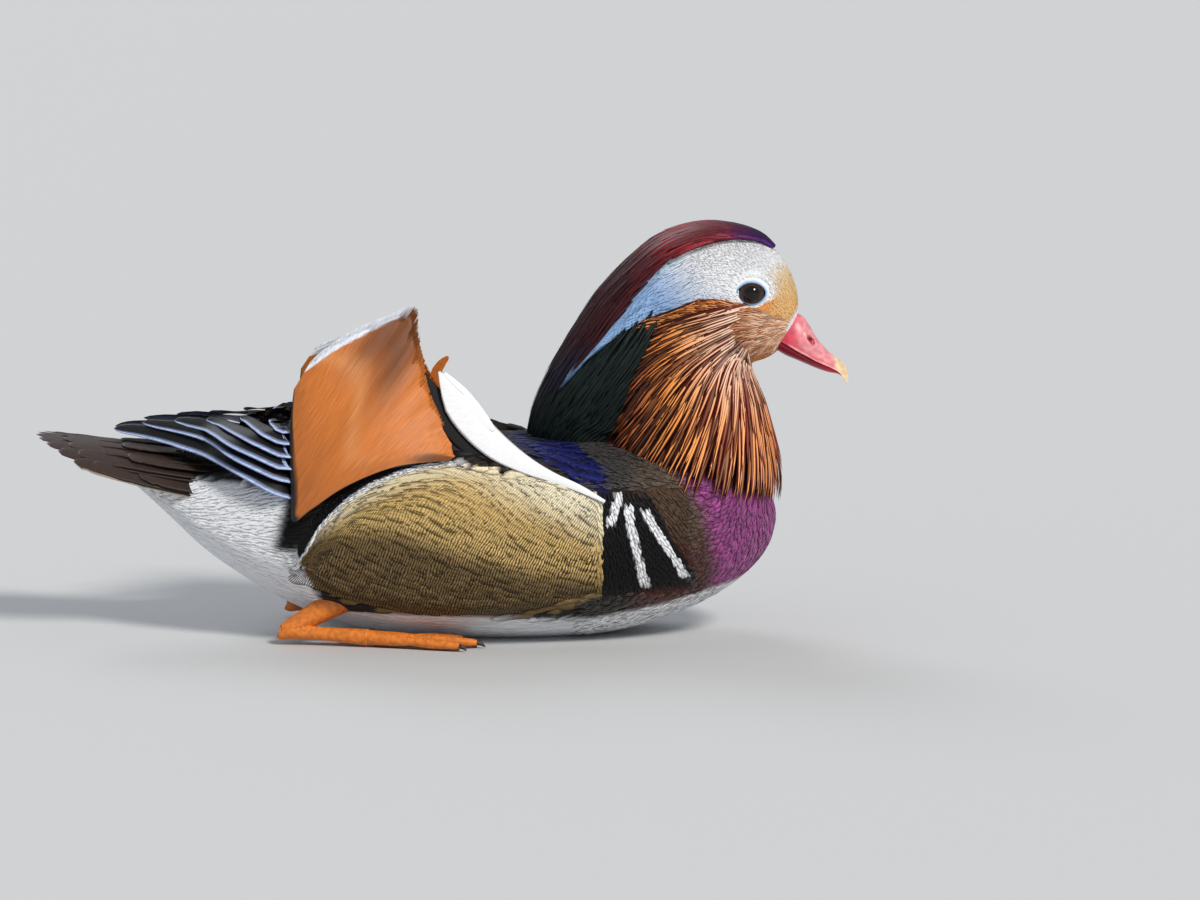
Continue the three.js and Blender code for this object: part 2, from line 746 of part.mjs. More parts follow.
function primaryGeometries(side) {
  return PRIMARIES.map(({ tip, root }, i) => {
    const rise = i / (PRIMARIES.length - 1);
    const rootY = lerp(41, 27, rise);
    const tipY = lerp(7, 17, rise);
    const at = (share, up) =>
      new THREE.Vector3(
        lerp(PRIMARY_ROOT_X, tip[0], share),
        side * lerp(rootY, tipY, share ** 1.1),
        lerp(root, tip[1], share) + up,
      );
    const webs = [PRIMARY_WIDTH, PRIMARY_WIDTH * 0.55];
    return vaneGeometry({
      path: [at(0, -1), at(0.35, 1.4), at(0.7, 1.6), at(1, 0)],
      up: new THREE.Vector3(0.1, side * 0.75, 0.66).normalize(),
      widths: side === RIGHT ? webs.reverse() : webs,
      thick: 1,
      steps: 5,
      tipPower: 3,
    });
  });
}

// Scapulars: pointed feathers that sweep up behind the shoulder: points of the shaft, and two web widths.
const SCAPULARS = [
  {
    path: [[62, 47, 70], [40, 46, 79], [22, 41, 90], [10, 36, 101], [1, 32, 111], [-2, 30, 119.5]],
    webs: [6.5, 6],
    tip: 1.5,
  },
  {
    path: [[56, 44, 74], [34, 42, 83], [14, 37, 93], [0, 33.5, 104], [-6, 31, 114]],
    webs: [7, 4.5],
    tip: 1.5,
  },
  { path: [[60, 40, 77], [46, 37, 83], [32, 33, 88.5], [20, 29, 94]], webs: [5.5, 6.5], tip: 1.8 },
];

// The left ones lie lower, so that the right ones hide them from the right.
const SCAPULAR_DROP = { [RIGHT]: 0, [LEFT]: 13 };

function scapularGeometries(side) {
  const placed = ([x, y, z]) => {
    const drop = SCAPULAR_DROP[side] * THREE.MathUtils.smoothstep(z, 72, 102);
    return new THREE.Vector3(x, side * y, z - drop);
  };
  return SCAPULARS.map(({ path, webs, tip }) =>
    vaneGeometry({
      path: path.map(placed),
      up: new THREE.Vector3(0, side * 0.9, 0.44),
      widths: side === RIGHT ? [webs[1], webs[0]] : webs,
      thick: 1.1,
      steps: 6,
      tipPower: tip,
    }),
  );
}

function wingSolid(side) {
  const vanes = [...covertGeometries(side), ...primaryGeometries(side), ...scapularGeometries(side)];
  return joined([wingPlate(side), ...vanes])
    .subtract(torsoGrown)
    .subtract(flankGrown(side));
}

// The room that a wing takes up, with the gap to its neighbours.
function wingRoom(side) {
  const vanes = [...covertGeometries(side), ...primaryGeometries(side), ...scapularGeometries(side)];
  return joined([wingPlate(side, GAP), ...vanes, ...vanes.map((vane) => grown(vane, GAP))]);
}

// Sail: the broad inner flight feather that stands up. Its shaft runs back along the wing and up behind it.
// The shaft's first points lie on the torso: x, angle up from the widest line, lift. The others are x, y, z.
const SAIL_BASE = [
  [4, 49, 4.6],
  [-19, 44, 5.2],
  [-40, 32, 5],
  [-55, 17, 4.4],
  [-63, 9, 3.6],
];
const SAIL_REAR = [
  [-65, 46.5, 70],
  [-65.5, 43.5, 84],
  [-65.5, 40, 98],
  [-64, 36, 112],
];
// Margins of the two sails. The left one is held a little lower.
const SAIL_MARGINS = {
  [RIGHT]: [
    [8, 41, 85],
    [1, 38, 97],
    [-5, 36, 108],
    [-9, 34, 121],
    [-12, 32, 133],
    [-14.5, 28, 143.5],
    [-30, 31, 138.6],
    [-45, 34, 131.8],
    [-58, 35, 122],
  ],
  [LEFT]: [
    [8, 41, 85],
    [1, 38, 97],
    [-6, 36, 107],
    [-11, 34, 116],
    [-15, 32, 125],
    [-20, 30, 131.5],
    [-33, 31.5, 128],
    [-46, 34, 125],
    [-59, 35.5, 119.5],
  ],
};
const SAIL_THICK = 1;
const SAIL_BULGE = 5;

function sailGeometry(side) {
  const placed = ([x, y, z]) => new THREE.Vector3(x, side * y, z);
  const base = SAIL_BASE.map(([x, degrees, lift]) => torsoPoint(x, degrees, side, lift));
  const shaft = new THREE.CatmullRomCurve3([...base, ...SAIL_REAR.map(placed)]);
  const margin = new THREE.CatmullRomCurve3(SAIL_MARGINS[side].map(placed));
  const [rows, columns] = [10, 5];
  const grid = (push) =>
    Array.from({ length: rows }, (_, r) =>
      Array.from({ length: columns }, (_, c) => {
        const [s, t] = [r / (rows - 1), c / (columns - 1)];
        const point = shaft.getPoint(s).lerp(margin.getPoint(s), t);
        const bulge = SAIL_BULGE * Math.sin(Math.PI * t) * Math.sin(Math.PI * s);
        point.y += side * (bulge + push);
        return point;
      }),
    );
  return plateGeometry(grid(SAIL_THICK / 2), grid(-SAIL_THICK / 2));
}

// The curled tip of a small feather in front of the left sail.
function curlGeometry() {
  return vaneGeometry({
    path: [
      [-3, 37.5, 92],
      [-4, 36.5, 102],
      [-3.5, 36, 111],
      [1.5, 35.5, 117.5],
    ].map(([x, y, z]) => new THREE.Vector3(x, y, z)),
    up: new THREE.Vector3(0, 1, 0.2),
    widths: [3.4, 3.4],
    thick: 1.1,
    steps: 5,
    tipPower: 1.6,
  });
}

function sailSolid(side) {
  const whole = side === LEFT ? joined([sailGeometry(side), curlGeometry()]) : solidFrom(sailGeometry(side));
  return whole.subtract(wingRoom(side)).subtract(torsoGrown).subtract(flankGrown(side));
}

// Tail: a fan of feathers that overlap like tiles, on a short wedge of coverts.
const TAIL_FEATHERS = 10;
const TAIL_ROOT = { x: -92, z: 79 };
const TAIL_LENGTH = 87;
const TAIL_RISE = 7.5;
const TAIL_SPREAD = 21; // degrees from the middle to the outermost feather
const TAIL_FEATHER_WIDTH = 8.6;
const TAIL_DROP = [17, 5]; // how far the outermost feather lies below the middle, at its root and at its tip
const TAIL_HALF = [19, 34]; // how far it lies out to the side

function tailGeometries() {
  const vanes = Array.from({ length: TAIL_FEATHERS }, (_, i) => {
    const place = (2 * i) / (TAIL_FEATHERS - 1) - 1;
    const turn = radians(TAIL_SPREAD * place);
    const length = TAIL_LENGTH * (1 - 0.16 * place ** 2);
    const at = (share, sag) =>
      new THREE.Vector3(
        TAIL_ROOT.x - length * share * Math.cos(turn),
        -place * lerp(...TAIL_HALF, share),
        TAIL_ROOT.z + TAIL_RISE * share ** 1.3 - place ** 2 * lerp(...TAIL_DROP, share) + sag,
      );
    return vaneGeometry({
      path: [at(0, -1), at(0.35, -0.6), at(0.7, -0.3), at(1, 0)],
      up: new THREE.Vector3(0, -place * 0.6, 1).normalize(),
      widths: [TAIL_FEATHER_WIDTH * 0.8, TAIL_FEATHER_WIDTH * 0.8],
      thick: 1,
      steps: 4,
      tipPower: 5,
    });
  });
  const coverts = [
    [-84, 84, 76, 18, 79],
    [-95, 83.5, 75.5, 20, 79],
    [-108, 82.5, 76, 17, 79],
    [-120, 82, 77, 11, 79.5],
    [-127, 81.4, 79, 3, 80],
  ];
  return [...vanes, sectionLoft(coverts, 6, 10, 2, 2)];
}

function tailSolid() {
  return joined(tailGeometries()).subtract(torsoGrown).subtract(wingRoom(RIGHT)).subtract(wingRoom(LEFT));
}

// Leg: the shank comes out of the belly, the tarsus lies on the floor and the webbed toes point forwards.
const ANKLE = [-68, 38, 6.2];
const SHANK_TOP = [-40, 34, 22];
const TOE_BASE = [-32, 44, 4.2];
const TOE_TIPS = [[12, 37, 2.4], [19, 48, 2.4], [11, 58, 2.4]];
const HIND_TOE = [-44, 35, 2.4];
const WEB_THICK = 1.3;

function tubeGeometry(stops, sides = 7) {
  const rings = stops.map(([x, y, z, radius], i) => {
    const previous = stops[Math.max(i - 1, 0)];
    const next = stops[Math.min(i + 1, stops.length - 1)];
    const change = [0, 1, 2].map((k) => next[k] - previous[k]);
    const forward = new THREE.Vector3(...change).normalize();
    const across = new THREE.Vector3().crossVectors(forward, new THREE.Vector3(0, 0, 1)).normalize();
    const up = new THREE.Vector3().crossVectors(across, forward);
    return Array.from({ length: sides }, (_, k) => {
      const angle = (2 * Math.PI * k) / sides + Math.PI / 2;
      return new THREE.Vector3(x, y, z)
        .addScaledVector(across, radius * Math.cos(angle))
        .addScaledVector(up, radius * Math.sin(angle));
    });
  });
  return ringGeometry(rings);
}

function legGeometries(side) {
  const mix = (a, b, f) => a.map((value, n) => lerp(value, b[n], f));
  const stop = ([x, y, z], radius) => [x, side * y, z, radius];
  const shin = mix(SHANK_TOP, ANKLE, 0.55);
  const end = stop([-71, 38.2, 6], 2.6);
  const shank = tubeGeometry([stop(SHANK_TOP, 7), stop(shin, 5), stop(ANKLE, 3.9), end], 9);
  const hollow = mix(ANKLE, TOE_BASE, 0.4);
  const tarsus = tubeGeometry([stop(ANKLE, 3.8), stop(hollow, 2.9), stop(TOE_BASE, 3.6)], 8);
  const toes = TOE_TIPS.map((tip) => {
    const knuckles = [0, 0.3, 0.45, 0.62, 0.9, 1];
    const radii = [3.2, 2.5, 1.9, 2.2, 1.6, 0.3];
    return tubeGeometry(knuckles.map((f, n) => {
      const [x, y, z] = mix(TOE_BASE, tip, f);
      return [x, side * y, z - 1.6 * f * (f > 0.9), radii[n]];
    }), 6);
  });
  const [heel, pad] = [mix(TOE_BASE, HIND_TOE, 0.1), mix(TOE_BASE, HIND_TOE, 0.7)];
  const hind = tubeGeometry([stop(heel, 1.8), stop(pad, 1.5), stop(HIND_TOE, 0.4)], 6);
  const webs = [0, 1].map((n) => {
    const rows = 4;
    const grid = (z) =>
      Array.from({ length: rows }, (_, r) =>
        Array.from({ length: 4 }, (_, c) => {
          const across = c / 3;
          const reach = lerp(0.05, 0.93 - 0.2 * Math.sin(Math.PI * across), r / (rows - 1));
          const [ax, ay] = mix(TOE_BASE, TOE_TIPS[n], reach);
          const [bx, by] = mix(TOE_BASE, TOE_TIPS[n + 1], reach);
          return new THREE.Vector3(lerp(ax, bx, across), side * lerp(ay, by, across), z);
        }),
      );
    return plateGeometry(grid(WEB_THICK), grid(0));
  });
  return [shank, tarsus, ...toes, hind, ...webs];
}

const PAINT = {
  torso: material(0x6b3a63),
  neck: material(0x5a241b),
  head: material(0xd98a4a),
  crest: material(0x43202f, 0.45),
  bill: material(0xc8323f, 0.35),
  eye: material(0x1c0f0a, 0.05),
  flank: material(0xb99655),
  wing: material(0x14131c, 0.5),
  sail: material(0xc0702a),
  tail: material(0x2c2220),
  leg: material(0xcf7a2c, 0.5),
};

const duck = new THREE.Group();
const upperBill = [RIGHT, LEFT].reduce(
  (bill, side) => bill.subtract(solidFrom(nostrilGeometry(side))),
  solidFrom(mandible(true)),
);
const wings = { right: wingSolid(RIGHT), left: wingSolid(LEFT) };

duck.add(
  meshFrom("torso", torsoSolid, PAINT.torso),
  meshFrom("neck", neckSolid, PAINT.neck),
  meshFrom("head", headSolid(), PAINT.head),
  meshFrom("crest", crestSolid(), PAINT.crest),
  meshFrom("bill_upper", upperBill, PAINT.bill),
  meshFrom("bill_lower", solidFrom(mandible(false)), PAINT.bill),
  meshFrom("tail", tailSolid(), PAINT.tail),
);
for (const [name, side] of [["right", RIGHT], ["left", LEFT]]) {
  duck.add(
    meshFrom(`eye_${name}`, solidFrom(eyeGeometry(side)), PAINT.eye),
    meshFrom(`flank_${name}`, flankSolid(side), PAINT.flank),
    meshFrom(`wing_${name}`, wings[name], PAINT.wing),
    meshFrom(`sail_${name}`, sailSolid(side), PAINT.sail),
    meshFrom(`leg_${name}`, joined(legGeometries(side)).subtract(floorBlock).subtract(torsoGrown), PAINT.leg),
  );
}

export default duck;
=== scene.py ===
"""Looks of a drake mandarin duck that sits on its belly, feet tucked under: plumage, bill, eyes and feet.

Sizes are in millimetres until a mesh is made. +X is towards the bill, +Y the bird's left, +Z up.
"""
import math

import bpy
import numpy as np
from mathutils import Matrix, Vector
from mathutils.bvhtree import BVHTree


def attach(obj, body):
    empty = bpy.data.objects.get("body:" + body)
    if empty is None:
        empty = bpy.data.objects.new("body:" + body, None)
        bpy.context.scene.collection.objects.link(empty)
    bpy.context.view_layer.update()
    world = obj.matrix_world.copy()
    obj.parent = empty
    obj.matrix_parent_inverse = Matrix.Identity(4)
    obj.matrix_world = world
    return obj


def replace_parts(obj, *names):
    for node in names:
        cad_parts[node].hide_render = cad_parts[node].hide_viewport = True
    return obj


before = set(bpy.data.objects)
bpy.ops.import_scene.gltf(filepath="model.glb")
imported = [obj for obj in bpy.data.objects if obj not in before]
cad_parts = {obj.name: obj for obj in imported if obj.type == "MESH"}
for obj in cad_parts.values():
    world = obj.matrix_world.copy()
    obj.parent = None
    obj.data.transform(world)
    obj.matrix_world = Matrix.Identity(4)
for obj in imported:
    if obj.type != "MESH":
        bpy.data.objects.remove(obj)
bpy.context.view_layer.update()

MM = 0.001
RIGHT = -1
LEFT = 1
SIDES = {"right": RIGHT, "left": LEFT}

# Body forms. Torso and head: x, top z, bottom z, half width, z of the widest point.
TORSO = [
    (-147, 74, 72, 1.5, 73),
    (-143, 74.6, 69.5, 6, 72),
    (-133, 74, 62, 15, 68),
    (-120, 73.8, 50, 24, 62),
    (-105, 76, 36, 33, 56),
    (-88, 80, 24, 41, 52),
    (-68, 84, 12.5, 48.5, 50),
    (-44, 87, 3.2, 56, 48),
    (-15, 88, -1.8, 61.5, 47),
    (15, 88, -3.2, 63.5, 47),
    (45, 88, -3, 62, 47),
    (75, 87.5, 0, 57, 47),
    (100, 85, 7, 49, 48),
    (120, 79, 16, 39.5, 49),
    (135, 71.5, 27, 27.5, 50),
    (143.5, 64, 37.5, 16, 51),
    (147, 55, 48, 4, 51.5),
]
SHOULDER_POWER = 2.35
BELLY_POWER = 2
HEAD = [
    (84, 152, 148, 2, 150),
    (88, 164, 136, 11.5, 150),
    (97, 172.5, 124, 17, 147),
    (110, 177, 117.5, 20.5, 145),
    (124, 178, 117, 21.8, 144),
    (136, 175.6, 118.5, 20.4, 143.5),
    (144.5, 171.4, 121.5, 17.2, 143),
    (150.7, 164.6, 127.6, 12.6, 143),
    (155, 156, 134.5, 7.2, 143.5),
    (156.8, 149, 140, 2, 144),
]
CROWN_POWER = 1.85
# Neck: z, centre x, half length, half width.
NECK = [
    (56, 105, 40, 42),
    (66, 106, 40.5, 40),
    (76, 106, 39.5, 33.5),
    (86, 106, 37, 30),
    (100, 106, 33, 26),
    (112, 105, 30.5, 23),
    (122, 106, 29.5, 21),
    (134, 112, 30, 19.5),
    (146, 118, 30, 18),
]
# Crest: the outer line over the crown and down the nape: x, z, depth under it, half width there.
CREST = [
    (146, 171.2, 1.5, 4),
    (138, 177.2, 3.5, 8),
    (126, 181, 6, 12),
    (111, 181.4, 9, 15),
    (94.4, 176, 13, 18),
    (80.7, 165, 17, 20),
    (68, 151.5, 20, 21.5),
    (58, 136.5, 22, 22),
    (49.5, 122.5, 23, 21.5),
    (43, 109.5, 23.5, 20.5),
    (39, 99, 23, 19),
    (36.8, 88, 21, 17),
]
# Flank panel on the torso: x, lower angle, upper angle up from the widest line.
FLANK = [
    (-62, -20, -6),
    (-54, -28, 12),
    (-40, -34, 28),
    (-20, -37, 41),
    (5, -38, 46),
    (30, -37, 42),
    (52, -33, 35),
    (68, -24, 24),
]
FLANK_THICK = 2.6
# Folded wing: x, y and z of its middle, half height, half thickness, degrees its top leans towards the back.
WING = [
    (66, 40, 72, 4, 2, 35),
    (52, 44, 74, 10, 4, 42),
    (30, 44, 77.5, 13, 5, 42),
    (0, 42, 81, 16, 6, 40),
    (-30, 40, 83, 18, 6.2, 35),
    (-55, 36.5, 83.5, 18, 5.5, 30),
    (-72, 33, 84, 15, 4, 27),
    (-84, 30, 85.5, 9.5, 2.6, 25),
    (-93, 27.5, 87, 2.5, 0.9, 25),
]
WING_SUNK = 0.8
# Bill: x, culmen z, z of the cutting edge, z of the underside, half width above and below that edge.
BILL = [
    (144, 138, 131.5, 126.5, 7.4, 6.4),
    (150, 140.6, 128.2, 122.8, 8.5, 7.5),
    (155, 141.2, 125.2, 120.7, 8.8, 7.7),
    (159.4, 138, 122.8, 118.8, 8.3, 7.2),
    (164, 130.2, 120.3, 116.8, 7.6, 6.4),
    (169.2, 124.2, 118, 114.8, 6.9, 5.5),
    (173.6, 120.8, 115.6, 113.4, 6.0, 4.2),
    (176.6, 118, 111.6, 110.6, 4.6, 2),
    (177.7, 115, 110.2, 109.4, 3.0, 1),
]
LOWER_BILL_END = 0.8
NOSTRIL = (161.3, 129.7)
EYE = {"x": 135.1, "z": 152.0, "radius": 6.3, "out": 14.6}
# Half length, half height and depth of the hollow the eye sits in.
ORBIT = (9.0, 7.6, 3.2)
LID = {"long": 6.3, "high": 5.3}
COAT_DEPTH = 1.1
# Least height of skin and coat over the floor.
SKIN_FLOOR_GAP = 0.15
COAT_FLOOR_GAP = 0.2
# Size of a vane's patch on the unwrapped skin.
PATCH = 0.003
# How much lighter a vane's shaft is than its web.
SHAFT_LIGHT = 1.6
# Least distance between two roots as a share of their spacing.
ROOT_GAP = 0.86


def smooth(low, high, value):
    t = np.clip((np.asarray(value, float) - low) / (high - low), 0, 1)
    return t * t * (3 - 2 * t)


def unit(vectors):
    return vectors / np.maximum(np.linalg.norm(vectors, axis=-1, keepdims=True), 1e-9)


def tone(red, green, blue):
    """A screen colour, 0 to 255, as linear light."""
    c = np.array([red, green, blue]) / 255
    return np.where(c <= 0.04045, c / 12.92, ((c + 0.055) / 1.055) ** 2.4)


def row_at(table, share):
    """Rows of a table of sizes at shares of its length, on a smooth curve through the rows."""
    table = np.asarray(table, float)
    last = len(table) - 1
    place = np.clip(np.asarray(share, float), 0, 1) * last
    index = np.minimum(place.astype(int), last - 1)
    f = (place - index)[..., None]
    a, b, c, d = (table[np.clip(index + k, 0, last)] for k in (-1, 0, 1, 2))
    return 0.5 * (2 * b + (c - a) * f + (2 * a - 5 * b + 4 * c - d) * f**2 + (3 * b - a - 3 * c + d) * f**3)


def share_of(table, value):
    shares = np.linspace(0, 1, 1201)
    first = row_at(table, shares)[:, 0]
    if first[0] > first[-1]:
        first, shares = first[::-1], shares[::-1]
    return np.interp(value, first, shares)


def powered(value, power):
    return np.sign(value) * np.abs(value) ** (2 / power)


def section(rows, angle, top_power, bottom_power):
    """Points of upright sections: angle 0 is the left side, a quarter turn the top."""
    x, top, bottom, half, widest = np.moveaxis(rows, -1, 0)
    c, s = np.cos(angle), np.sin(angle)
    up = s >= 0
    rise = np.where(up, (top - widest) * powered(s, top_power), (widest - bottom) * powered(s, bottom_power))
    across = half * np.where(up, powered(c, top_power), powered(c, bottom_power))
    return np.stack(np.broadcast_arrays(x, across, widest + rise), -1)


def section_grid(table, rings, sides, top_power, bottom_power):
    rows = row_at(table, np.linspace(0, 1, rings))[:, None, :]
    angle = np.linspace(0, 2 * np.pi, sides, endpoint=False)[None, :]
    return section(np.broadcast_to(rows, (rings, sides, rows.shape[-1])), angle, top_power, bottom_power)


def torso_point(x, degrees, side, lift=0.0):
    x, degrees = np.broadcast_arrays(np.asarray(x, float), np.asarray(degrees, float))

    def at(xx, dd):
        rows = row_at(TORSO, share_of(TORSO, xx))
        point = section(rows, np.radians(dd), SHOULDER_POWER, BELLY_POWER)
        return point * np.array([1, side, 1])

    point = at(x, degrees)
    normal = unit(np.cross(at(x + 1, degrees) - at(x - 1, degrees), at(x, degrees + 1) - at(x, degrees - 1)))
    inward = np.sum(normal * (point - np.array([0, 0, 47])) * np.array([0, 1, 1]), -1) < 0
    normal[inward] *= -1
    return point + normal * np.asarray(lift)[..., None]


def torso_degrees(points):
    """The angle up from the widest line at places on the torso."""
    rows = row_at(TORSO, share_of(TORSO, points[:, 0]))
    top, bottom, widest = rows[:, 1], rows[:, 2], rows[:, 4]
    above = points[:, 2] >= widest
    share = (points[:, 2] - widest) / np.where(above, top - widest, widest - bottom)
    power = np.where(above, SHOULDER_POWER, BELLY_POWER)
    return np.degrees(np.arcsin(np.clip(np.sign(share) * np.abs(share) ** (power / 2), -1, 1)))


def crest_frame(share):
    """Middle of the crest, the way it flows, the way out, its depth and its half width."""
    here = row_at(CREST, share)
    ahead = row_at(CREST, np.minimum(np.asarray(share) + 0.01, 1))
    behind = row_at(CREST, np.maximum(np.asarray(share) - 0.01, 0))
    zero = np.zeros_like(here[..., 0])
    flow = unit(np.stack([ahead[..., 0] - behind[..., 0], zero, ahead[..., 1] - behind[..., 1]], -1))
    out = np.stack([flow[..., 2], zero, -flow[..., 0]], -1)
    middle = np.stack([here[..., 0], zero, here[..., 1]], -1) - out * here[..., 2:3]
    return middle, flow, out, here[..., 2], here[..., 3]


def crest_point(share, degrees, reach):
    share, degrees, reach = np.broadcast_arrays(share, degrees, reach)
    middle, _, out, depth, half = crest_frame(share)
    angle = np.radians(degrees)
    point = middle + out * (depth * reach * np.cos(angle))[..., None]
    point[..., 1] += half * reach * np.sin(angle)
    return point


def wing_place(x, rows, up, out, side):
    """Places up along the wing's lean and out from its middle."""
    _, y, z, _, _, lean = np.moveaxis(rows, -1, 0)
    c, s = np.cos(np.radians(lean)), np.sin(np.radians(lean))
    return np.stack([x, side * (y - up * s + out * c), z + up * c + out * s], -1)


def wing_point(x, height, side, lift=0.0):
    """A place on the folded wing's outer face: height runs from -1, its lower edge, to 1."""
    x, height = np.broadcast_arrays(np.asarray(x, float), np.asarray(height, float))
    rows = row_at(WING, share_of(WING, x))
    high, thick = rows[..., 3], rows[..., 4]
    return wing_place(x, rows, high * height, thick * np.sqrt(np.maximum(0, 1 - height**2)) + lift, side)


# Building meshes

def new_object(name, vertices, faces, smooth_faces=True):
    mesh = bpy.data.meshes.new(name)
    mesh.from_pydata((np.asarray(vertices) * MM).tolist(), [], faces)
    mesh.polygons.foreach_set("use_smooth", np.full(len(mesh.polygons), smooth_faces))
    mesh.update()
    made = bpy.data.objects.new(name, mesh)
    bpy.context.scene.collection.objects.link(made)
    return made


def grid_faces(rows, columns, wrapped, caps):
    faces = []
    for r in range(rows - 1):
        for c in range(columns if wrapped else columns - 1):
            n = (c + 1) % columns
            faces.append((r * columns + c, r * columns + n, (r + 1) * columns + n, (r + 1) * columns + c))
    if caps:
        faces.append(tuple(range(columns))[::-1])
        faces.append(tuple((rows - 1) * columns + c for c in range(columns)))
    return faces


def turned_out(vertices, faces):
    """The faces, all turned over if the closed shape is inside out."""
    v = np.asarray(vertices, float)
    volume = 0
    for face in faces:
        for a, b in zip(face[1:-1], face[2:]):
            volume += np.dot(v[face[0]], np.cross(v[a], v[b]))
    return [face[::-1] for face in faces] if volume < 0 else faces


def tube_object(name, rings):
    """A closed form through rings of points."""
    rings = np.asarray(rings, float)
    vertices = rings.reshape(-1, 3)
    faces = turned_out(vertices, grid_faces(len(rings), rings.shape[1], True, True))
    return new_object(name, vertices, faces)


def joined(objects, name):
    bpy.ops.object.select_all(action="DESELECT")
    for made in objects:
        made.select_set(True)
    bpy.context.view_layer.objects.active = objects[0]
    if len(objects) > 1:
        bpy.ops.object.join()
    objects[0].name = name
    objects[0].data.name = name
    return objects[0]


def applied(made):
    """Makes what an object's modifiers show its own mesh."""
    graph = bpy.context.evaluated_depsgraph_get()
    mesh = bpy.data.meshes.new_from_object(made.evaluated_get(graph))
    made.modifiers.clear()
    made.data = mesh
    return made


def shaped(made, kind, **settings):
    modifier = made.modifiers.new(kind.lower(), kind)
    for key, value in settings.items():
        setattr(modifier, key, value)
    return applied(made)


def vertex_places(mesh):
    co = np.empty(len(mesh.vertices) * 3)
    mesh.vertices.foreach_get("co", co)
    return co.reshape(-1, 3) / MM


def vertex_normals(mesh):
    co = np.empty(len(mesh.vertices) * 3)
    mesh.vertex_normals.foreach_get("vector", co)
    return co.reshape(-1, 3)


def set_places(mesh, places):
    mesh.vertices.foreach_set("co", (places * MM).ravel())
    mesh.update()


def set_colours(mesh, name, colours):
    layer = mesh.attributes.new(name, "FLOAT_COLOR", "POINT")
    full = np.ones((len(mesh.vertices), 4))
    full[:, :3] = colours
    layer.data.foreach_set("color", full.ravel())


def set_numbers(mesh, name, numbers):
    mesh.attributes.new(name, "FLOAT", "POINT").data.foreach_set("value", np.asarray(numbers, float).ravel())


def dressed(made, colours, material):
    """Paints a piece, gives it its only material and ties it to the body."""
    set_colours(made.data, "coat", colours)
    made.data.materials.clear()
    made.data.materials.append(material)
    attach(made, "root")


# The skin: one closed surface for torso, neck, head, flanks, wing bases and the crest's core.

def sheet(name, outer, inner):
    """A closed sheet between two grids of points, rows by columns."""
    rows, columns = outer.shape[:2]
    top = grid_faces(rows, columns, False, False)
    shift = rows * columns
    faces = top + [tuple(shift + i for i in face[::-1]) for face in top]
    rim = list(range(columns - 1))
    rim += [r * columns + columns - 1 for r in range(rows - 1)]
    rim += [(rows - 1) * columns + c for c in range(columns - 1, 0, -1)]
    rim += [r * columns for r in range(rows - 1, 0, -1)]
    faces += [(b, a, shift + a, shift + b) for a, b in zip(rim, rim[1:] + rim[:1])]
    vertices = np.concatenate([outer.reshape(-1, 3), inner.reshape(-1, 3)])
    return new_object(name, vertices, turned_out(vertices, faces))


def flank_pad(side):
    rows, columns = 48, 28
    share = np.linspace(0, 1, rows)[:, None]
    across = np.linspace(0, 1, columns)[None, :]
    x, low, high = np.moveaxis(row_at(FLANK, np.broadcast_to(share, (rows, columns))), -1, 0)
    bulge = (4 * across * (1 - across)) ** 0.45 * (4 * share * (1 - share)) ** 0.3
    degrees = low + (high - low) * across
    outer = torso_point(x, degrees, side, 0.5 + (FLANK_THICK - 0.5) * bulge)
    return sheet("pad", outer, torso_point(x, degrees, side, np.full(x.shape, -4.0)))


def wing_body(side):
    rings, sides = 40, 28
    share = np.linspace(0, 1, rings)[:, None]
    angle = np.linspace(0, 2 * np.pi, sides, endpoint=False)[None, :]
    rows = row_at(WING, np.broadcast_to(share, (rings, sides)))
    up = (rows[..., 3] - WING_SUNK) * np.sin(angle)
    out = (rows[..., 4] - WING_SUNK) * np.cos(angle)
    return tube_object("wing_body", wing_place(rows[..., 0], rows, up, out, side))


def neck_grid(rings, sides):
    z, x, long, half = np.moveaxis(row_at(NECK, np.linspace(0, 1, rings))[:, None, :], -1, 0)
    angle = np.linspace(0, 2 * np.pi, sides, endpoint=False)[None, :]
    return np.stack(
        np.broadcast_arrays(x + long * np.cos(angle), half * np.sin(angle), z + 0 * angle), -1
    )


def crest_grid(reach, rings, sides, start, end):
    share = np.linspace(start, end, rings)[:, None]
    degrees = np.linspace(0, 360, sides, endpoint=False)[None, :]
    return crest_point(share, degrees, np.full((rings, sides), reach))


COVERTS = [
    (-84, 84, 76, 18, 79),
    (-95, 83.5, 75.5, 20, 79),
    (-108, 82.5, 76, 17, 79),
    (-120, 82, 77, 11, 79.5),
    (-127, 81.4, 79, 3, 80),
]


def make_skin():
    forms = [
        tube_object("torso_form", section_grid(TORSO, 90, 72, SHOULDER_POWER, BELLY_POWER)),
        tube_object("neck_form", neck_grid(40, 60)),
        tube_object("head_form", section_grid(HEAD, 60, 60, CROWN_POWER, 2)),
        tube_object("crest_form", crest_grid(0.87, 60, 40, 0.03, 0.965)),
        tube_object("covert_form", section_grid(COVERTS, 20, 24, 2, 2)),
    ]
    for side in SIDES.values():
        forms += [flank_pad(side), wing_body(side)]
    skin = joined(forms, "skin")
    skin = shaped(skin, "REMESH", mode="VOXEL", voxel_size=1.5 * MM, use_smooth_shade=True)
    skin = shaped(skin, "SMOOTH", factor=0.5, iterations=6)
    places, out = vertex_places(skin.data), vertex_normals(skin.data)
    places -= out * COAT_DEPTH
    long, high, deep = ORBIT
    for side in SIDES.values():
        near = (places[:, 1] * side > 8) & (places[:, 0] > 110)
        r2 = ((places[:, 0] - EYE["x"]) / long) ** 2 + ((places[:, 2] - EYE["z"]) / high) ** 2
        places[:, 1] -= side * deep * np.where(near, np.clip(1 - r2, 0, 1) ** 0.8, 0)
    places[:, 2] = np.maximum(places[:, 2], SKIN_FLOOR_GAP)
    set_places(skin.data, places)
    return skin


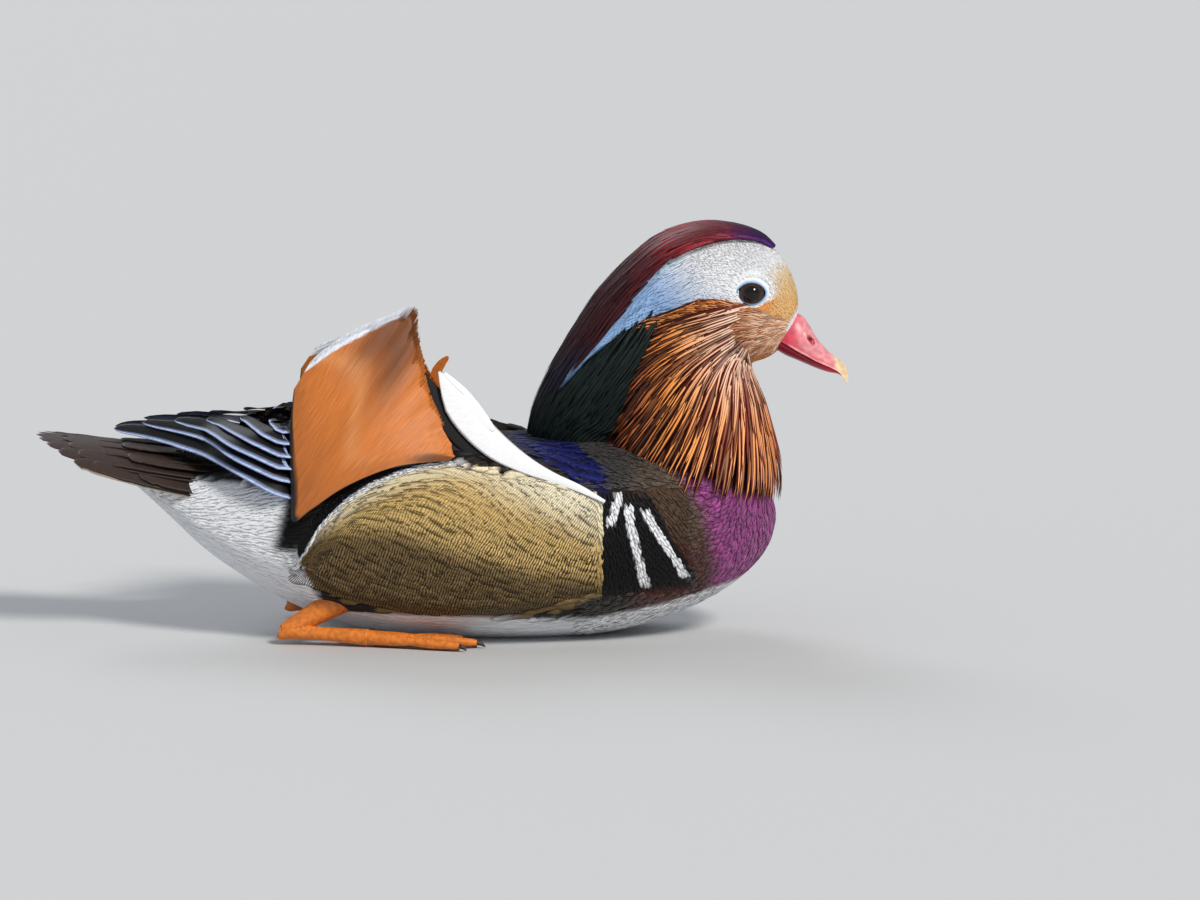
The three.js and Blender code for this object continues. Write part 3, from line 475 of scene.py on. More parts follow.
skin = make_skin()
skin_places = vertex_places(skin.data)
skin_out = vertex_normals(skin.data)
skin_polygons = [tuple(polygon.vertices) for polygon in skin.data.polygons]
skin_face_out = unit(np.array([skin_out[list(polygon)].mean(0) for polygon in skin_polygons]))
skin_face_place = np.array([skin_places[list(polygon)].mean(0) for polygon in skin_polygons])
skin_area = np.empty(len(skin_polygons))
skin.data.polygons.foreach_get("area", skin_area)
skin_area /= MM * MM
skin_tree = BVHTree.FromPolygons(skin_places.tolist(), skin_polygons)


def snapped(points):
    """The nearest places on the skin, and the way out of it there."""
    flat = np.asarray(points, float).reshape(-1, 3)
    places = np.empty_like(flat)
    faces = np.empty(len(flat), int)
    for i, point in enumerate(flat.tolist()):
        place, _, index, _ = skin_tree.find_nearest(point)
        places[i] = place
        faces[i] = index
    return places.reshape(np.shape(points)), skin_face_out[faces].reshape(np.shape(points))


# Markings, as functions of place. Lines are in side view: x and z.
BROW_TOP_X = [49, 58, 71.5, 79.4, 87.3, 94, 107, 123, 145.4]
BROW_TOP_Z = [107, 117.8, 134.7, 144.7, 156.9, 165.6, 172.9, 176.6, 174.5]
BROW_LOW_X = [49, 65.8, 78.1, 88.2, 99.7, 112, 124.3, 130, 136, 146]
BROW_LOW_Z = [106, 124.4, 135.5, 140.4, 143.4, 148.8, 149.2, 147.6, 145, 150]
RUFF_BACK_Z = [78, 85, 93, 103, 116, 130, 141]
RUFF_BACK_X = [71, 72, 74, 76, 80, 86, 95]

# The flank's upper edge in side view.
FLANK_TOP_X = [-62, -58, -52, -41, -30, -19, -8, 3.7, 25.3, 52.6, 70.2]
FLANK_TOP_Z = [38, 45, 55, 65.5, 72.5, 77, 80, 81.6, 79, 74.2, 66.7]

# Upper edge of the painted shade over the lower part of the flank in side view.
FLANK_SHADE_X = [-62, -23, 9, 39, 71]
FLANK_SHADE_Z = [52, 55, 44, 36, 32]

# The line between the body and the plumage of head and neck in side view.
NECK_LINE_X = [20, 34, 60, 84, 110, 130, 147]
NECK_LINE_Z = [100, 88, 87, 84, 74, 66, 60]

# Middle of the blue patch above the scapulars in side view.
SHOULDER_X = [16, 22, 34, 52, 72]
SHOULDER_Z = [98, 95, 89, 83, 71]

# Upper edge of the white under parts in side view.
PALE_X = [-150, -67, -60, -50, 66, 100, 122, 136]
PALE_Z = [72, 70, 34, 15, 12, 18, 24, 26]

# White bars on the side of the breast: x and z along each, top to bottom, and half its width.
BARS = [
    ([76.8, 75.6, 74.2, 72.9], [68, 64, 60, 56], 1.7),
    ([80.8, 81.2, 83.6, 87.2, 88.4], [64.5, 61, 48, 33, 28], 1.9),
    ([88, 90.4, 95, 101.5, 105.5], [62, 57.5, 49.5, 39, 31], 2.0),
]

WHITE = tone(236, 238, 242)
SHADE_WHITE = tone(142, 178, 224)
GOLD = tone(226, 180, 118)
PALE_GOLD = tone(226, 200, 156)
RUST = tone(120, 36, 20)
DARK_RUST = tone(62, 16, 16)
CHEEK = tone(216, 134, 66)
MAROON = tone(118, 28, 36)
DEEP_MAROON = tone(52, 12, 18)
PURPLE = tone(62, 24, 104)
NIGHT_BLUE = tone(14, 12, 32)
GREEN_BLACK = tone(10, 24, 22)
BREAST = tone(140, 54, 122)
BREAST_BROWN = tone(76, 58, 44)
BREAST_RUST = tone(70, 34, 28)
BLACK = tone(16, 14, 16)
BACK = tone(30, 24, 21)
RUMP = tone(22, 18, 18)
BUFF = tone(198, 166, 104)
PALE_BUFF = tone(232, 222, 192)
SHADED_BUFF = tone(112, 90, 54)
SHOULDER_BLUE = tone(10, 18, 88)


def painted(colours, mask, colour):
    mask = np.asarray(mask, float)[:, None]
    return colours * (1 - mask) + np.asarray(colour) * mask


def band(value, low, high, soft):
    return smooth(low - soft, low + soft, value) * (1 - smooth(high - soft, high + soft, value))


def flank_low(p):
    """The angle of the flank's lower edge."""
    return np.interp(p[:, 0], [row[0] for row in FLANK], [row[1] for row in FLANK])


def over_flank(p):
    """Height over the flank's upper edge."""
    return p[:, 2] - np.interp(p[:, 0], FLANK_TOP_X, FLANK_TOP_Z)


def shoulder_middle(p):
    return np.interp(p[:, 0], SHOULDER_X, SHOULDER_Z)


def pale_line(p):
    """Height of the upper edge of the white under parts."""
    return np.interp(p[:, 0], PALE_X, PALE_Z)


def neck_line(p):
    """Height of the line that parts head and neck from the body."""
    return np.interp(p[:, 0], NECK_LINE_X, NECK_LINE_Z)


def brow_low(x):
    return np.interp(x, BROW_LOW_X, BROW_LOW_Z)


def brow_top(x):
    return np.interp(x, BROW_TOP_X, BROW_TOP_Z)


def crown_red(x, z):
    """Maroon of the crest, purple over the forehead, darker and then bluish down the nape."""
    red = painted(np.tile(MAROON, (len(x), 1)), smooth(120, 142, x), PURPLE)
    red = painted(red, smooth(104, 84, x), DEEP_MAROON)
    return painted(red, smooth(140, 120, z) * smooth(72, 60, x), NIGHT_BLUE)


def torso_plumage(p):
    x, z = p[:, 0], p[:, 2]
    degrees = torso_degrees(p)
    c = np.tile(BACK, (len(p), 1))
    c = painted(c, smooth(-50, -70, x), RUMP)
    brown = smooth(76, 92, x) * smooth(86, 74, z)
    c = painted(c, brown, painted(np.tile(BREAST_BROWN, (len(p), 1)), smooth(56, 36, z), BREAST_RUST))
    edge = np.interp(z, [12, 35, 60, 75, 90], [116, 120, 114, 104, 98])
    c = painted(c, smooth(edge - 5, edge + 5, x), BREAST)
    dark_edge = np.interp(z, [26, 33, 49, 59, 68], [112, 110, 99.5, 95, 90])
    c = painted(c, band(x, 66, dark_edge, 1) * band(z, 26, 68, 1.5), BLACK)
    for xs, zs, half in BARS:
        line = np.interp(z, zs[::-1], xs[::-1])
        c = painted(c, band(z, min(zs), max(zs), 0.8) * band(x, line - half, line + half, 0.3), WHITE)
    shoulder = shoulder_middle(p)
    c = painted(c, band(x, 18, 72, 3) * band(z, shoulder - 4, shoulder + 7, 1.5), SHOULDER_BLUE * 0.5)
    low = flank_low(p)
    over = over_flank(p)
    side = smooth(26, 30, np.abs(p[:, 1]))
    along = band(x, -62, 70, 0.8) * smooth(low - 7, low - 4, degrees) * side
    pale = smooth(-14, 10, z - 86 + 0.476 * np.maximum(x, 10))
    pale = np.maximum(pale, 0.7 * smooth(-10, -2, over))
    # Painted shade: the lower part of the flank darker, where shade falls.
    flank_shade = smooth(5, -7, z - np.interp(x, FLANK_SHADE_X, FLANK_SHADE_Z))
    buff = painted(painted(np.tile(BUFF, (len(p), 1)), pale, PALE_BUFF), flank_shade, SHADED_BUFF)
    c = np.where((along * smooth(0.4, -0.4, over))[:, None] > 0.5, buff, c)
    rear = (1 - smooth(4, 14, x)) * smooth(-66, -60, x) * side
    c = painted(c, rear * band(over, 0, 5.5, 0.4), BLACK)
    c = painted(c, rear * band(over, -1.1, 0.8, 0.3), WHITE)
    line = pale_line(p)
    c = painted(c, smooth(line + 1.5, line - 1.5, z), WHITE)
    vent = band(x - 0.25 * (z - 55), -70, -58, 3) * band(z, 42, 74, 3)
    return painted(c, vent, BLACK)


def head_plumage(p):
    x, y, z = p[:, 0], np.abs(p[:, 1]), p[:, 2]
    top = brow_top(x)
    low = brow_low(x)
    c = np.tile(RUST, (len(p), 1))
    c = painted(c, smooth(10, 34, np.hypot(x - 138, z - 138)), DARK_RUST)
    c = painted(c, smooth(104, 118, x) * smooth(112, 124, z), CHEEK)
    mane = smooth(1.5, -1.5, x - np.interp(z, RUFF_BACK_Z, RUFF_BACK_X)) * smooth(low + 1, low - 1, z)
    c = painted(c, mane, GREEN_BLACK)
    brow = smooth(low - 0.8, low + 0.8, z) * smooth(47, 51, x)
    white = painted(np.tile(SHADE_WHITE, (len(p), 1)), smooth(84, 124, x + 0.8 * (z - 156)), WHITE)
    c = np.where(brow[:, None] > 0.5, white, c)
    gold = smooth(137, 150, x - 0.18 * np.maximum(0, z - 152) + 0.75 * np.maximum(0, 149 - z))
    gold = gold * smooth(118, 130, x) * smooth(168, 158, z) * smooth(114, 122, z)
    near_eye = np.hypot((x - EYE["x"]) / 9.6, (z - EYE["z"]) / 8.2)
    golden = painted(np.tile(GOLD, (len(p), 1)), smooth(146, 162, z), PALE_GOLD)
    c = painted(c, gold * smooth(0.8, 1.3, near_eye), golden)
    tan = smooth(149, 138, z) * smooth(108, 118, z) * smooth(112, 126, x)
    tan = tan * smooth(152, 144, x + 0.3 * (z - 132))
    c = painted(c, 0.75 * tan * smooth(0.95, 1.2, near_eye), CHEEK)
    base = np.array([(156.6, 142.5), (150.6, 133.5), (146.2, 124.5)])
    gap = np.full(len(p), 99.0)
    for (ax, az), (bx, bz) in zip(base[:-1], base[1:]):
        t = np.clip(((x - ax) * (bx - ax) + (z - az) * (bz - az)) / ((bx - ax) ** 2 + (bz - az) ** 2), 0, 1)
        gap = np.minimum(gap, np.hypot(x - ax - t * (bx - ax), z - az - t * (bz - az)))
    c = painted(c, smooth(2.2, 1.2, gap), WHITE)
    crown = smooth(top - 0.8, top + 0.8, z) * smooth(150, 147, x)
    red = painted(crown_red(x, z), smooth(108, 92, z) * smooth(74, 60, x), GREEN_BLACK)
    red = painted(red, smooth(7.5, 3, y) * smooth(96, 130, x) * smooth(160, 172, z) * 0.45, NIGHT_BLUE)
    return painted(c, crown, red)


def plumage(points):
    """Colour of the plumage at places on or over the skin."""
    flat = points.reshape(-1, 3)
    x, z = flat[:, 0], flat[:, 2]
    line = neck_line(flat)
    upper = smooth(line - 1.5, line + 1.5, z) * smooth(30, 34, x)
    c = painted(torso_plumage(flat), upper, head_plumage(flat))
    return c.reshape(points.shape)


def lie(points):
    """The way the feathers point at places on the skin."""
    x, z = points[:, 0], points[:, 2]
    side = np.sign(points[:, 1])
    front = smooth(108, 142, x)
    way = np.stack([-(1 - 0.75 * front), 0.05 * side * (1 - front), -0.08 - 0.92 * front], -1)
    bill = points - np.array([159, 0, 132])
    head = (smooth(112, 122, z) * smooth(92, 100, x))[:, None]
    way = unit(way) * (1 - head) + unit(bill) * head
    return unit(way)


def up_the_shoulder(points):
    """Back and up, beside the white shoulder feathers."""
    return unit(np.stack([-np.ones(len(points)), 0 * points[:, 0], 0.42 * np.ones(len(points))], -1))


def along_bars(points):
    """Down the bars on the side of the breast."""
    x, z = points[:, 0], points[:, 2]
    lean = 0.05 + 0.55 * smooth(76, 98, x)
    return unit(np.stack([lean, 0 * x, -np.ones_like(x)], -1))


def edge_slope(x):
    """Rise of the flank's upper edge for each millimetre back."""
    return (np.interp(x - 3, FLANK_TOP_X, FLANK_TOP_Z) - np.interp(x + 3, FLANK_TOP_X, FLANK_TOP_Z)) / 6


def along_flank_edge(points):
    """Back along the flank's upper edge."""
    x = points[:, 0]
    return unit(np.stack([-np.ones_like(x), 0 * x, edge_slope(x)], -1))


def over_the_flank(points):
    """Back, and up towards the upper edge."""
    x, z = points[:, 0], points[:, 2]
    near = smooth(22, 2, -over_flank(points)) * smooth(25, -10, x)
    rise = (0.36 + 0.75 * smooth(-25, 30, x) * smooth(36, 76, z)) * (1 - near) + edge_slope(x) * near
    return unit(np.stack([-np.ones_like(x), 0 * x, rise], -1))


# Feather coats: every tuft is a thin closed vane along a path.

def unwrapped(points):
    """Places on the unwrapped skin: the body round its long axis, head and neck round their upright axis."""
    p = points.reshape(-1, 3)
    x, y, z = p[:, 0], p[:, 1], p[:, 2]
    upper = (z > 92) & (x > 26)
    body_turn = np.arctan2(y, z - 46) / (2 * np.pi) + 0.5
    head_turn = np.arctan2(y, x - 104) / (2 * np.pi) + 0.5
    body = np.stack([0.02 + 0.95 * (x + 180) / 360, 0.02 + 0.55 * body_turn], -1)
    head = np.stack([0.02 + 0.95 * head_turn, 0.62 + 0.34 * (z - 92) / 92], -1)
    return np.where(upper[:, None], head, body)


def tuft_template(rows, columns):
    corners, sizes, sides = [], [], []
    for r in range(rows - 1):
        for c in range(columns - 1):
            a = r * columns + c
            corners += [a, a + 1, a + columns + 1, a + columns]
            sizes.append(4)
            sides.append(True)
        a, b = r * columns, (r + 1) * columns
        corners += [a + columns - 1, a, b, b + columns - 1]
        sizes.append(4)
        sides.append(False)
    corners += list(range(columns))[::-1]
    corners += [(rows - 1) * columns + c for c in range(columns)]
    sizes += [columns, columns]
    sides += [False, False]
    return np.array(corners), np.array(sizes), np.array(sides)


def coat(name, paths, outs, halves, arch, colours, shafts, material, across=(-1, 0, 1), bake_map=True):
    """One mesh of many vanes.

    paths and outs are (tufts, rows, 3). halves are the half widths, (tufts, rows), or (tufts, rows, 2) where
    left and right differ. arch is the height of the shaft over the edges. colours and shafts are
    (tufts, rows, 3) or (tufts, rows, columns, 3).
    """
    count, rows, _ = paths.shape
    across = np.asarray(across, float)
    columns = len(across)
    forward = unit(np.gradient(paths, axis=1))
    sideways = unit(np.cross(forward, outs))
    upward = unit(np.cross(sideways, forward))
    halves = np.asarray(halves, float)
    if halves.ndim == 2:
        halves = np.repeat(halves[..., None], 2, axis=2)
    reach = np.where(across < 0, halves[..., :1], halves[..., 1:]) * across
    rise = np.asarray(arch, float)[..., None] * (1 - across**2)
    vertices = paths[:, :, None, :] + sideways[:, :, None, :] * reach[..., None]
    vertices = vertices + upward[:, :, None, :] * rise[..., None]
    vertices[..., 2] = np.maximum(vertices[..., 2], COAT_FLOOR_GAP)

    corners, sizes, top = tuft_template(rows, columns)
    per = rows * columns
    offset = np.arange(count)[:, None] * per
    loops = (corners[None, :] + offset).ravel()
    all_sizes = np.tile(sizes, count)
    starts = np.concatenate([[0], np.cumsum(all_sizes)[:-1]])
    mesh = bpy.data.meshes.new(name)
    mesh.vertices.add(count * per)
    mesh.vertices.foreach_set("co", (vertices * MM).ravel())
    mesh.loops.add(len(loops))
    mesh.loops.foreach_set("vertex_index", loops.astype(np.int32))
    mesh.polygons.add(len(all_sizes))
    mesh.polygons.foreach_set("loop_start", starts.astype(np.int32))
    mesh.polygons.foreach_set("use_smooth", np.tile(top, count))
    mesh.update(calc_edges=True)

    steps = np.linalg.norm(np.diff(paths, axis=1), axis=-1)
    along = np.concatenate([np.zeros((count, 1)), np.cumsum(steps, axis=1)], axis=1)
    share = along / np.maximum(along[:, -1:], 1e-6)
    u = np.broadcast_to((across + 1) / 2, (count, rows, columns))
    v = np.broadcast_to(share[..., None], (count, rows, columns))
    root = unwrapped(paths[:, 0])[:, None, None, :]
    patch = root + PATCH * (np.stack([u, v], -1) - 0.5)
    vane = np.stack([u, np.broadcast_to(along[..., None] * 0.1, u.shape)], -1)
    layers = {"OFBake": patch, "Vane": vane} if bake_map else {"Vane": vane}
    for layer, values in layers.items():
        corner_values = values.reshape(-1, 2)[loops].astype(np.float32)
        mesh.uv_layers.new(name=layer).data.foreach_set("uv", corner_values.ravel())
    for layer, values in (("coat", colours), ("shaft", shafts)):
        values = np.asarray(values, float)
        if values.ndim == 3:
            values = values[:, :, None, :]
        set_colours(mesh, layer, np.broadcast_to(values, (count, rows, columns, 3)).reshape(-1, 3))
    set_numbers(mesh, "along", v)
    made = bpy.data.objects.new(name, mesh)
    bpy.context.scene.collection.objects.link(made)
    mesh.materials.append(material)
    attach(made, "root")
    return made


def scattered(chosen, spacing, seed):
    """Roots spread evenly over the part of the skin where chosen(places) is true."""
    random = np.random.default_rng(seed)
    kept = chosen(skin_face_place)
    weights = np.where(kept, skin_area, 0)
    count = int(weights.sum() / spacing**2 * 7)
    faces = random.choice(len(weights), count, p=weights / weights.sum())
    places = skin_face_place[faces] + random.uniform(-0.75, 0.75, (count, 3))
    cells = {}
    accepted = []
    limit = (spacing * ROOT_GAP) ** 2
    keys = np.floor(places / spacing).astype(int).tolist()
    near = [(a, b, c) for a in (-1, 0, 1) for b in (-1, 0, 1) for c in (-1, 0, 1)]
    for i, (place, key) in enumerate(zip(places.tolist(), keys)):
        free = True
        for a, b, c in near:
            for other in cells.get((key[0] + a, key[1] + b, key[2] + c), ()):
                gap = (other[0] - place[0]) ** 2 + (other[1] - place[1]) ** 2 + (other[2] - place[2]) ** 2
                if gap < limit:
                    free = False
                    break
            if not free:
                break
        if free:
            cells.setdefault(tuple(key), []).append(place)
            accepted.append(i)
    return snapped(places[accepted])[0]


def laid(roots, lengths, rows, lifts, way=lie, seed=1, stray=0.12):
    """Paths that run over the skin from their roots. lifts is the height over the skin at each row."""
    random = np.random.default_rng(seed)
    turn = random.normal(0, stray, len(roots))
    paths = np.empty((len(roots), rows, 3))
    outs = np.empty_like(paths)
    place, out = snapped(roots)
    step = np.asarray(lengths)[:, None] / (rows - 1)
    for r in range(rows):
        paths[:, r] = place + out * np.asarray(lifts)[..., r, None]
        outs[:, r] = out
        if r < rows - 1:
            ahead = way(place)
            ahead = unit(ahead - out * np.sum(ahead * out, -1, keepdims=True))
            ahead = unit(ahead + np.cross(out, ahead) * np.tan(turn)[:, None])
            place, out = snapped(place + ahead * step)
    return paths, outs


def strand_shape(t, root, grow, end, round_off, tip):
    """Half widths of a long strand at shares of its length, as shares of its greatest half width."""
    return np.minimum(1, root + grow * t) * (1 - t**end) ** round_off + tip


def leaf(rows, widest=0.55, tip=0.25, root=0.35):
    """Half widths of a vane from root to tip as shares of its greatest half width."""
    t = np.linspace(0, 1, rows)
    grow = root + (1 - root) * smooth(0, widest, t)
    return grow * np.sqrt(np.clip(1 - (np.clip(t - widest, 0, 1) / (1 - widest)) ** 2.4 * (1 - tip**2), 0, 1))


# Materials

def node(tree, kind, **settings):
    made = tree.nodes.new(kind)
    for key, value in settings.items():
        if key.startswith("in_"):
            made.inputs[key[3:].replace("_", " ")].default_value = value
        else:
            setattr(made, key, value)
    return made


def maths(tree, operation, *values):
    made = node(tree, "ShaderNodeMath", operation=operation)
    for socket, value in zip(made.inputs, values):
        if isinstance(value, (int, float)):
            socket.default_value = value
        else:
            tree.links.new(value, socket)
    return made.outputs[0]


def darkened(tree, share, colour, second):
    """The colour with a share of a second one mixed in."""
    made = node(tree, "ShaderNodeMix", data_type="RGBA", clamp_factor=True)
    tree.links.new(share, made.inputs[0])
    tree.links.new(colour, made.inputs[6])
    if isinstance(second, tuple):
        made.inputs[7].default_value = (*second, 1)
    else:
        tree.links.new(second, made.inputs[7])
    return made.outputs[2]


def ranged(tree, value, low, high, to_low=0.0, to_high=1.0):
    made = node(tree, "ShaderNodeMapRange", interpolation_type="SMOOTHSTEP")
    tree.links.new(value, made.inputs[0])
    for socket, number in zip(made.inputs[1:5], (low, high, to_low, to_high)):
        socket.default_value = number
    return made.outputs[0]


def attribute(tree, name, output="Fac"):
    return node(tree, "ShaderNodeAttribute", attribute_name=name).outputs[output]


def object_place(tree):
    return node(tree, "ShaderNodeTexCoord").outputs["Object"]


def split(tree, vector):
    made = node(tree, "ShaderNodeSeparateXYZ")
    tree.links.new(vector, made.inputs[0])
    return made.outputs


def put_together(tree, *values):
    made = node(tree, "ShaderNodeCombineXYZ")
    for socket, value in zip(made.inputs, values):
        tree.links.new(value, socket)
    return made.outputs[0]


def noise(tree, place, scale, **settings):
    made = node(tree, "ShaderNodeTexNoise", in_Scale=scale, **settings)
    if place:
        tree.links.new(place, made.inputs["Vector"])
    return made.outputs["Fac"]


def shaded(tree, grain, low, high):
    """The colour given on the mesh, made darker and lighter by a grain."""
    made = node(tree, "ShaderNodeVectorMath", operation="SCALE")
    tree.links.new(attribute(tree, "coat", "Color"), made.inputs[0])
    tree.links.new(ranged(tree, grain, 0.3, 0.7, low, high), made.inputs["Scale"])
    return made.outputs[0]


def bumped(tree, shader, height, strength, distance):
    made = node(tree, "ShaderNodeBump", in_Strength=strength, in_Distance=distance)
    tree.links.new(height, made.inputs["Height"])
    tree.links.new(made.outputs[0], shader.inputs["Normal"])


def new_material(name, roughness, specular=0.5, **extra):
    made = bpy.data.materials.new(name)
    made.use_nodes = True
    shader = made.node_tree.nodes["Principled BSDF"]
    shader.inputs["Roughness"].default_value = roughness
    shader.inputs["Specular IOR Level"].default_value = specular
    for key, value in extra.items():
        shader.inputs[key.replace("_", " ")].default_value = value
    return made, made.node_tree, shader


def plume(name, roughness=0.55, specular=0.4, shaft=0.0, shaft_width=0.16, rim=0.0, barbs=0.35, fine=1.0,
          sheen=0.0, relief=0.35):
    """A feather: barbs that run out from the shaft, a shaft line and a darker rim."""
    made, tree, shader = new_material(name, roughness, specular, Sheen_Weight=sheen, Sheen_Roughness=0.4)
    across, along, _ = split(tree, node(tree, "ShaderNodeUVMap", uv_map="Vane").outputs[0])
    off = maths(tree, "ABSOLUTE", maths(tree, "SUBTRACT", across, 0.5))
    slope = maths(tree, "SUBTRACT", along, maths(tree, "MULTIPLY", off, 0.5))
    vane = maths(tree, "MULTIPLY", split(tree, object_place(tree))[1], 25.0)
    place = put_together(tree, maths(tree, "MULTIPLY", slope, 42.0 * fine),
                         maths(tree, "MULTIPLY", across, 3.0), vane)
    barb = noise(tree, place, 1.0, in_Detail=2.0, in_Roughness=0.6)
    colour = shaded(tree, barb, 1 - barbs, 1 + barbs)
    if rim:
        share = maths(tree, "MULTIPLY", ranged(tree, off, 0.32, 0.5), rim)
        colour = darkened(tree, share, colour, (0.01, 0.008, 0.01))
    if shaft:
        line = maths(tree, "MULTIPLY", ranged(tree, off, shaft_width / 2, shaft_width / 12), shaft)
        colour = darkened(tree, line, colour, attribute(tree, "shaft", "Color"))
    tree.links.new(colour, shader.inputs["Base Color"])
    bumped(tree, shader, barb, relief, 0.00012)
    return made


# Distance between the flank's fine black lines in millimetres.
WAVE_LENGTH = 1.25


def vermiculated():
    """Flank feathers: fine wavy black lines over buff."""
    made = plume("flank_plume", roughness=0.65, specular=0.2, shaft=0.35, shaft_width=0.14, barbs=0.12,
                 relief=0.2)
    tree = made.node_tree
    shader = tree.nodes["Principled BSDF"]
    place = object_place(tree)
    run = maths(tree, "MULTIPLY", attribute(tree, "wave"), 2 * math.pi / WAVE_LENGTH)
    for scale, detail, strength in ((150.0, 2.0, 13.0), (620.0, 1.0, 4.0)):
        sway = noise(tree, place, scale, in_Detail=detail)
        run = maths(tree, "ADD", run, maths(tree, "MULTIPLY", sway, strength))
    lines = ranged(tree, maths(tree, "SINE", run), -0.3, 0.6)
    below = ranged(tree, split(tree, place)[2], 0.080, 0.040, 0.3, 0.93)
    colour = shader.inputs["Base Color"].links[0].from_socket
    dark = darkened(tree, maths(tree, "MULTIPLY", lines, below), colour, (0.012, 0.010, 0.008))
    tree.links.new(dark, shader.inputs["Base Color"])
    return made


def barbed_sheet(name):
    """The sail's web: barbs that run out from the shaft."""
    made, tree, shader = new_material(name, 0.5, 0.35, Sheen_Weight=0.15)
    place = put_together(tree, maths(tree, "MULTIPLY", attribute(tree, "barb_s"), 260.0),
                         maths(tree, "MULTIPLY", attribute(tree, "barb_t"), 5.0))
    barb = noise(tree, place, 1.0, in_Detail=3.0, in_Roughness=0.65)
    tree.links.new(shaded(tree, barb, 0.72, 1.18), shader.inputs["Base Color"])
    bumped(tree, shader, barb, 0.3, 0.0002)
    return made


def painted_skin(name, roughness, scale, low, high, bumpy, specular=0.5, **extra):
    """Horn or bare skin: the colour given on the mesh, mottled and finely bumped."""
    made, tree, shader = new_material(name, roughness, specular, **extra)
    grain = noise(tree, object_place(tree), scale, in_Detail=4.0)
    tree.links.new(shaded(tree, grain, low, high), shader.inputs["Base Color"])
    if bumpy:
        bumped(tree, shader, grain, bumpy, 0.0002)
    return made


def downy_skin():
    """Fine down under the coat, painted as the coat is."""
    made, tree, shader = new_material("skin_down", 0.75, 0.2)
    grain = noise(tree, None, 900.0, in_Detail=2.0)
    tree.links.new(shaded(tree, grain, 0.92, 1.0), shader.inputs["Base Color"])
    return made


MATERIALS = {
    "body": plume("body_plume", roughness=0.6, specular=0.25, barbs=0.3, relief=0.25),
    "breast": plume("breast_plume", roughness=0.5, specular=0.4, barbs=0.45, sheen=0.15),
    "white": plume("white_plume", roughness=0.7, specular=0.15, barbs=0.06, relief=0.15),
    "face": plume("face_plume", roughness=0.65, specular=0.2, barbs=0.08, fine=1.6, relief=0.1),
    "shoulder": plume("shoulder_plume", roughness=0.6, specular=0.2, barbs=0.15, rim=0.97),
    "flank": vermiculated(),
    "hackle": plume("hackle_plume", roughness=0.5, specular=0.35, shaft=1.0, shaft_width=0.5, rim=0.6,
                    barbs=0.02, relief=0.1),
    "crest": plume("crest_plume", roughness=0.46, specular=0.3, shaft=0.35, shaft_width=0.4, rim=0.4,
                   barbs=0.5),
    "brow": plume("brow_plume", roughness=0.6, specular=0.25, barbs=0.05, relief=0.05),
    "quill": plume("quill", roughness=0.5, specular=0.25, barbs=0.35, fine=1.3),
    "white_vane": plume("white_vane", roughness=0.6, specular=0.25, barbs=0.1, fine=1.6, relief=0.5),
    "sail": barbed_sheet("sail_web"),
    "bill": painted_skin("bill_horn", 0.36, 420.0, 0.78, 1.16, 0.3, specular=0.4, Coat_Weight=0.15,
                         Coat_Roughness=0.3),
    "eye": painted_skin("eye_gloss", 0.06, 900.0, 0.6, 1.6, 0, specular=0.25, Coat_Weight=0.35,
                        Coat_Roughness=0.02),
    "lid": painted_skin("lid_skin", 0.5, 700.0, 0.9, 1.05, 0.2),
    "foot": painted_skin("foot_skin", 0.5, 500.0, 0.75, 1.15, 0.6),
}


def floor_and_light():
    scene = bpy.context.scene
    world = bpy.data.worlds.new("studio")
    scene.world = world
    world.use_nodes = True
    background = world.node_tree.nodes["Background"]
    background.inputs[0].default_value = (0.86, 0.89, 0.94, 1)
    background.inputs[1].default_value = 0.5
    half = 30.0
    mesh = bpy.data.meshes.new("floor")
    corners = [(-half, -half, 0), (half, -half, 0), (half, half, 0), (-half, half, 0)]
    mesh.from_pydata(corners, [], [(0, 1, 2, 3)])
    floor = bpy.data.objects.new("floor", mesh)
    scene.collection.objects.link(floor)
    paint, _, shader = new_material("floor_paint", 0.85, 0.2)
    shader.inputs["Base Color"].default_value = (0.56, 0.57, 0.58, 1)
    mesh.materials.append(paint)
    for name, way, energy, angle, colour in (
        ("key", (-0.55, 0.75, -0.8), 2.6, 14, (1.0, 0.96, 0.9)),
        ("rim", (0.35, -0.8, -0.7), 0.8, 30, (0.92, 0.96, 1.0)),
    ):
        lamp = bpy.data.lights.new(name, "SUN")
        lamp.energy = energy
        lamp.angle = math.radians(angle)
        lamp.color = colour
        made = bpy.data.objects.new(name, lamp)
        made.rotation_euler = Vector(way).to_track_quat("-Z", "Y").to_euler()
        scene.collection.objects.link(made)
    scene.view_settings.view_transform = "Standard"
    scene.view_settings.look = "None"


CAMERA_ELEVATION = 8.0
CAMERA_AZIMUTH = 0.0
CAMERA_DISTANCE = 3.0
CAMERA_TARGET = (0.0689, 0.0, 0.0804)
FRAME_WIDTH = 0.528


def make_camera():
    scene = bpy.context.scene
    data = bpy.data.cameras.new("camera")
    data.sensor_width = 36
    data.lens = 36 * CAMERA_DISTANCE / FRAME_WIDTH
    data.clip_start = 0.05
    data.clip_end = 20
    camera = bpy.data.objects.new("camera", data)
    a, e = math.radians(CAMERA_AZIMUTH), math.radians(CAMERA_ELEVATION)
    back = Vector((math.sin(a) * math.cos(e), -math.cos(a) * math.cos(e), math.sin(e)))
    camera.location = Vector(CAMERA_TARGET) + back * CAMERA_DISTANCE
    camera.rotation_euler = (-back).to_track_quat("-Z", "Y").to_euler()
    scene.collection.objects.link(camera)
    scene.camera = camera


floor_and_light()
make_camera()

dressed(skin, plumage(skin_places), downy_skin())
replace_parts(skin, "torso")

# Regions of the skin


def on_head(p):
    return (p[:, 2] - neck_line(p) > 0) & (p[:, 0] > 32)


def beside(p):
    return (p[:, 0] > -62) & (p[:, 0] < 74) & (np.abs(p[:, 1]) > 28)


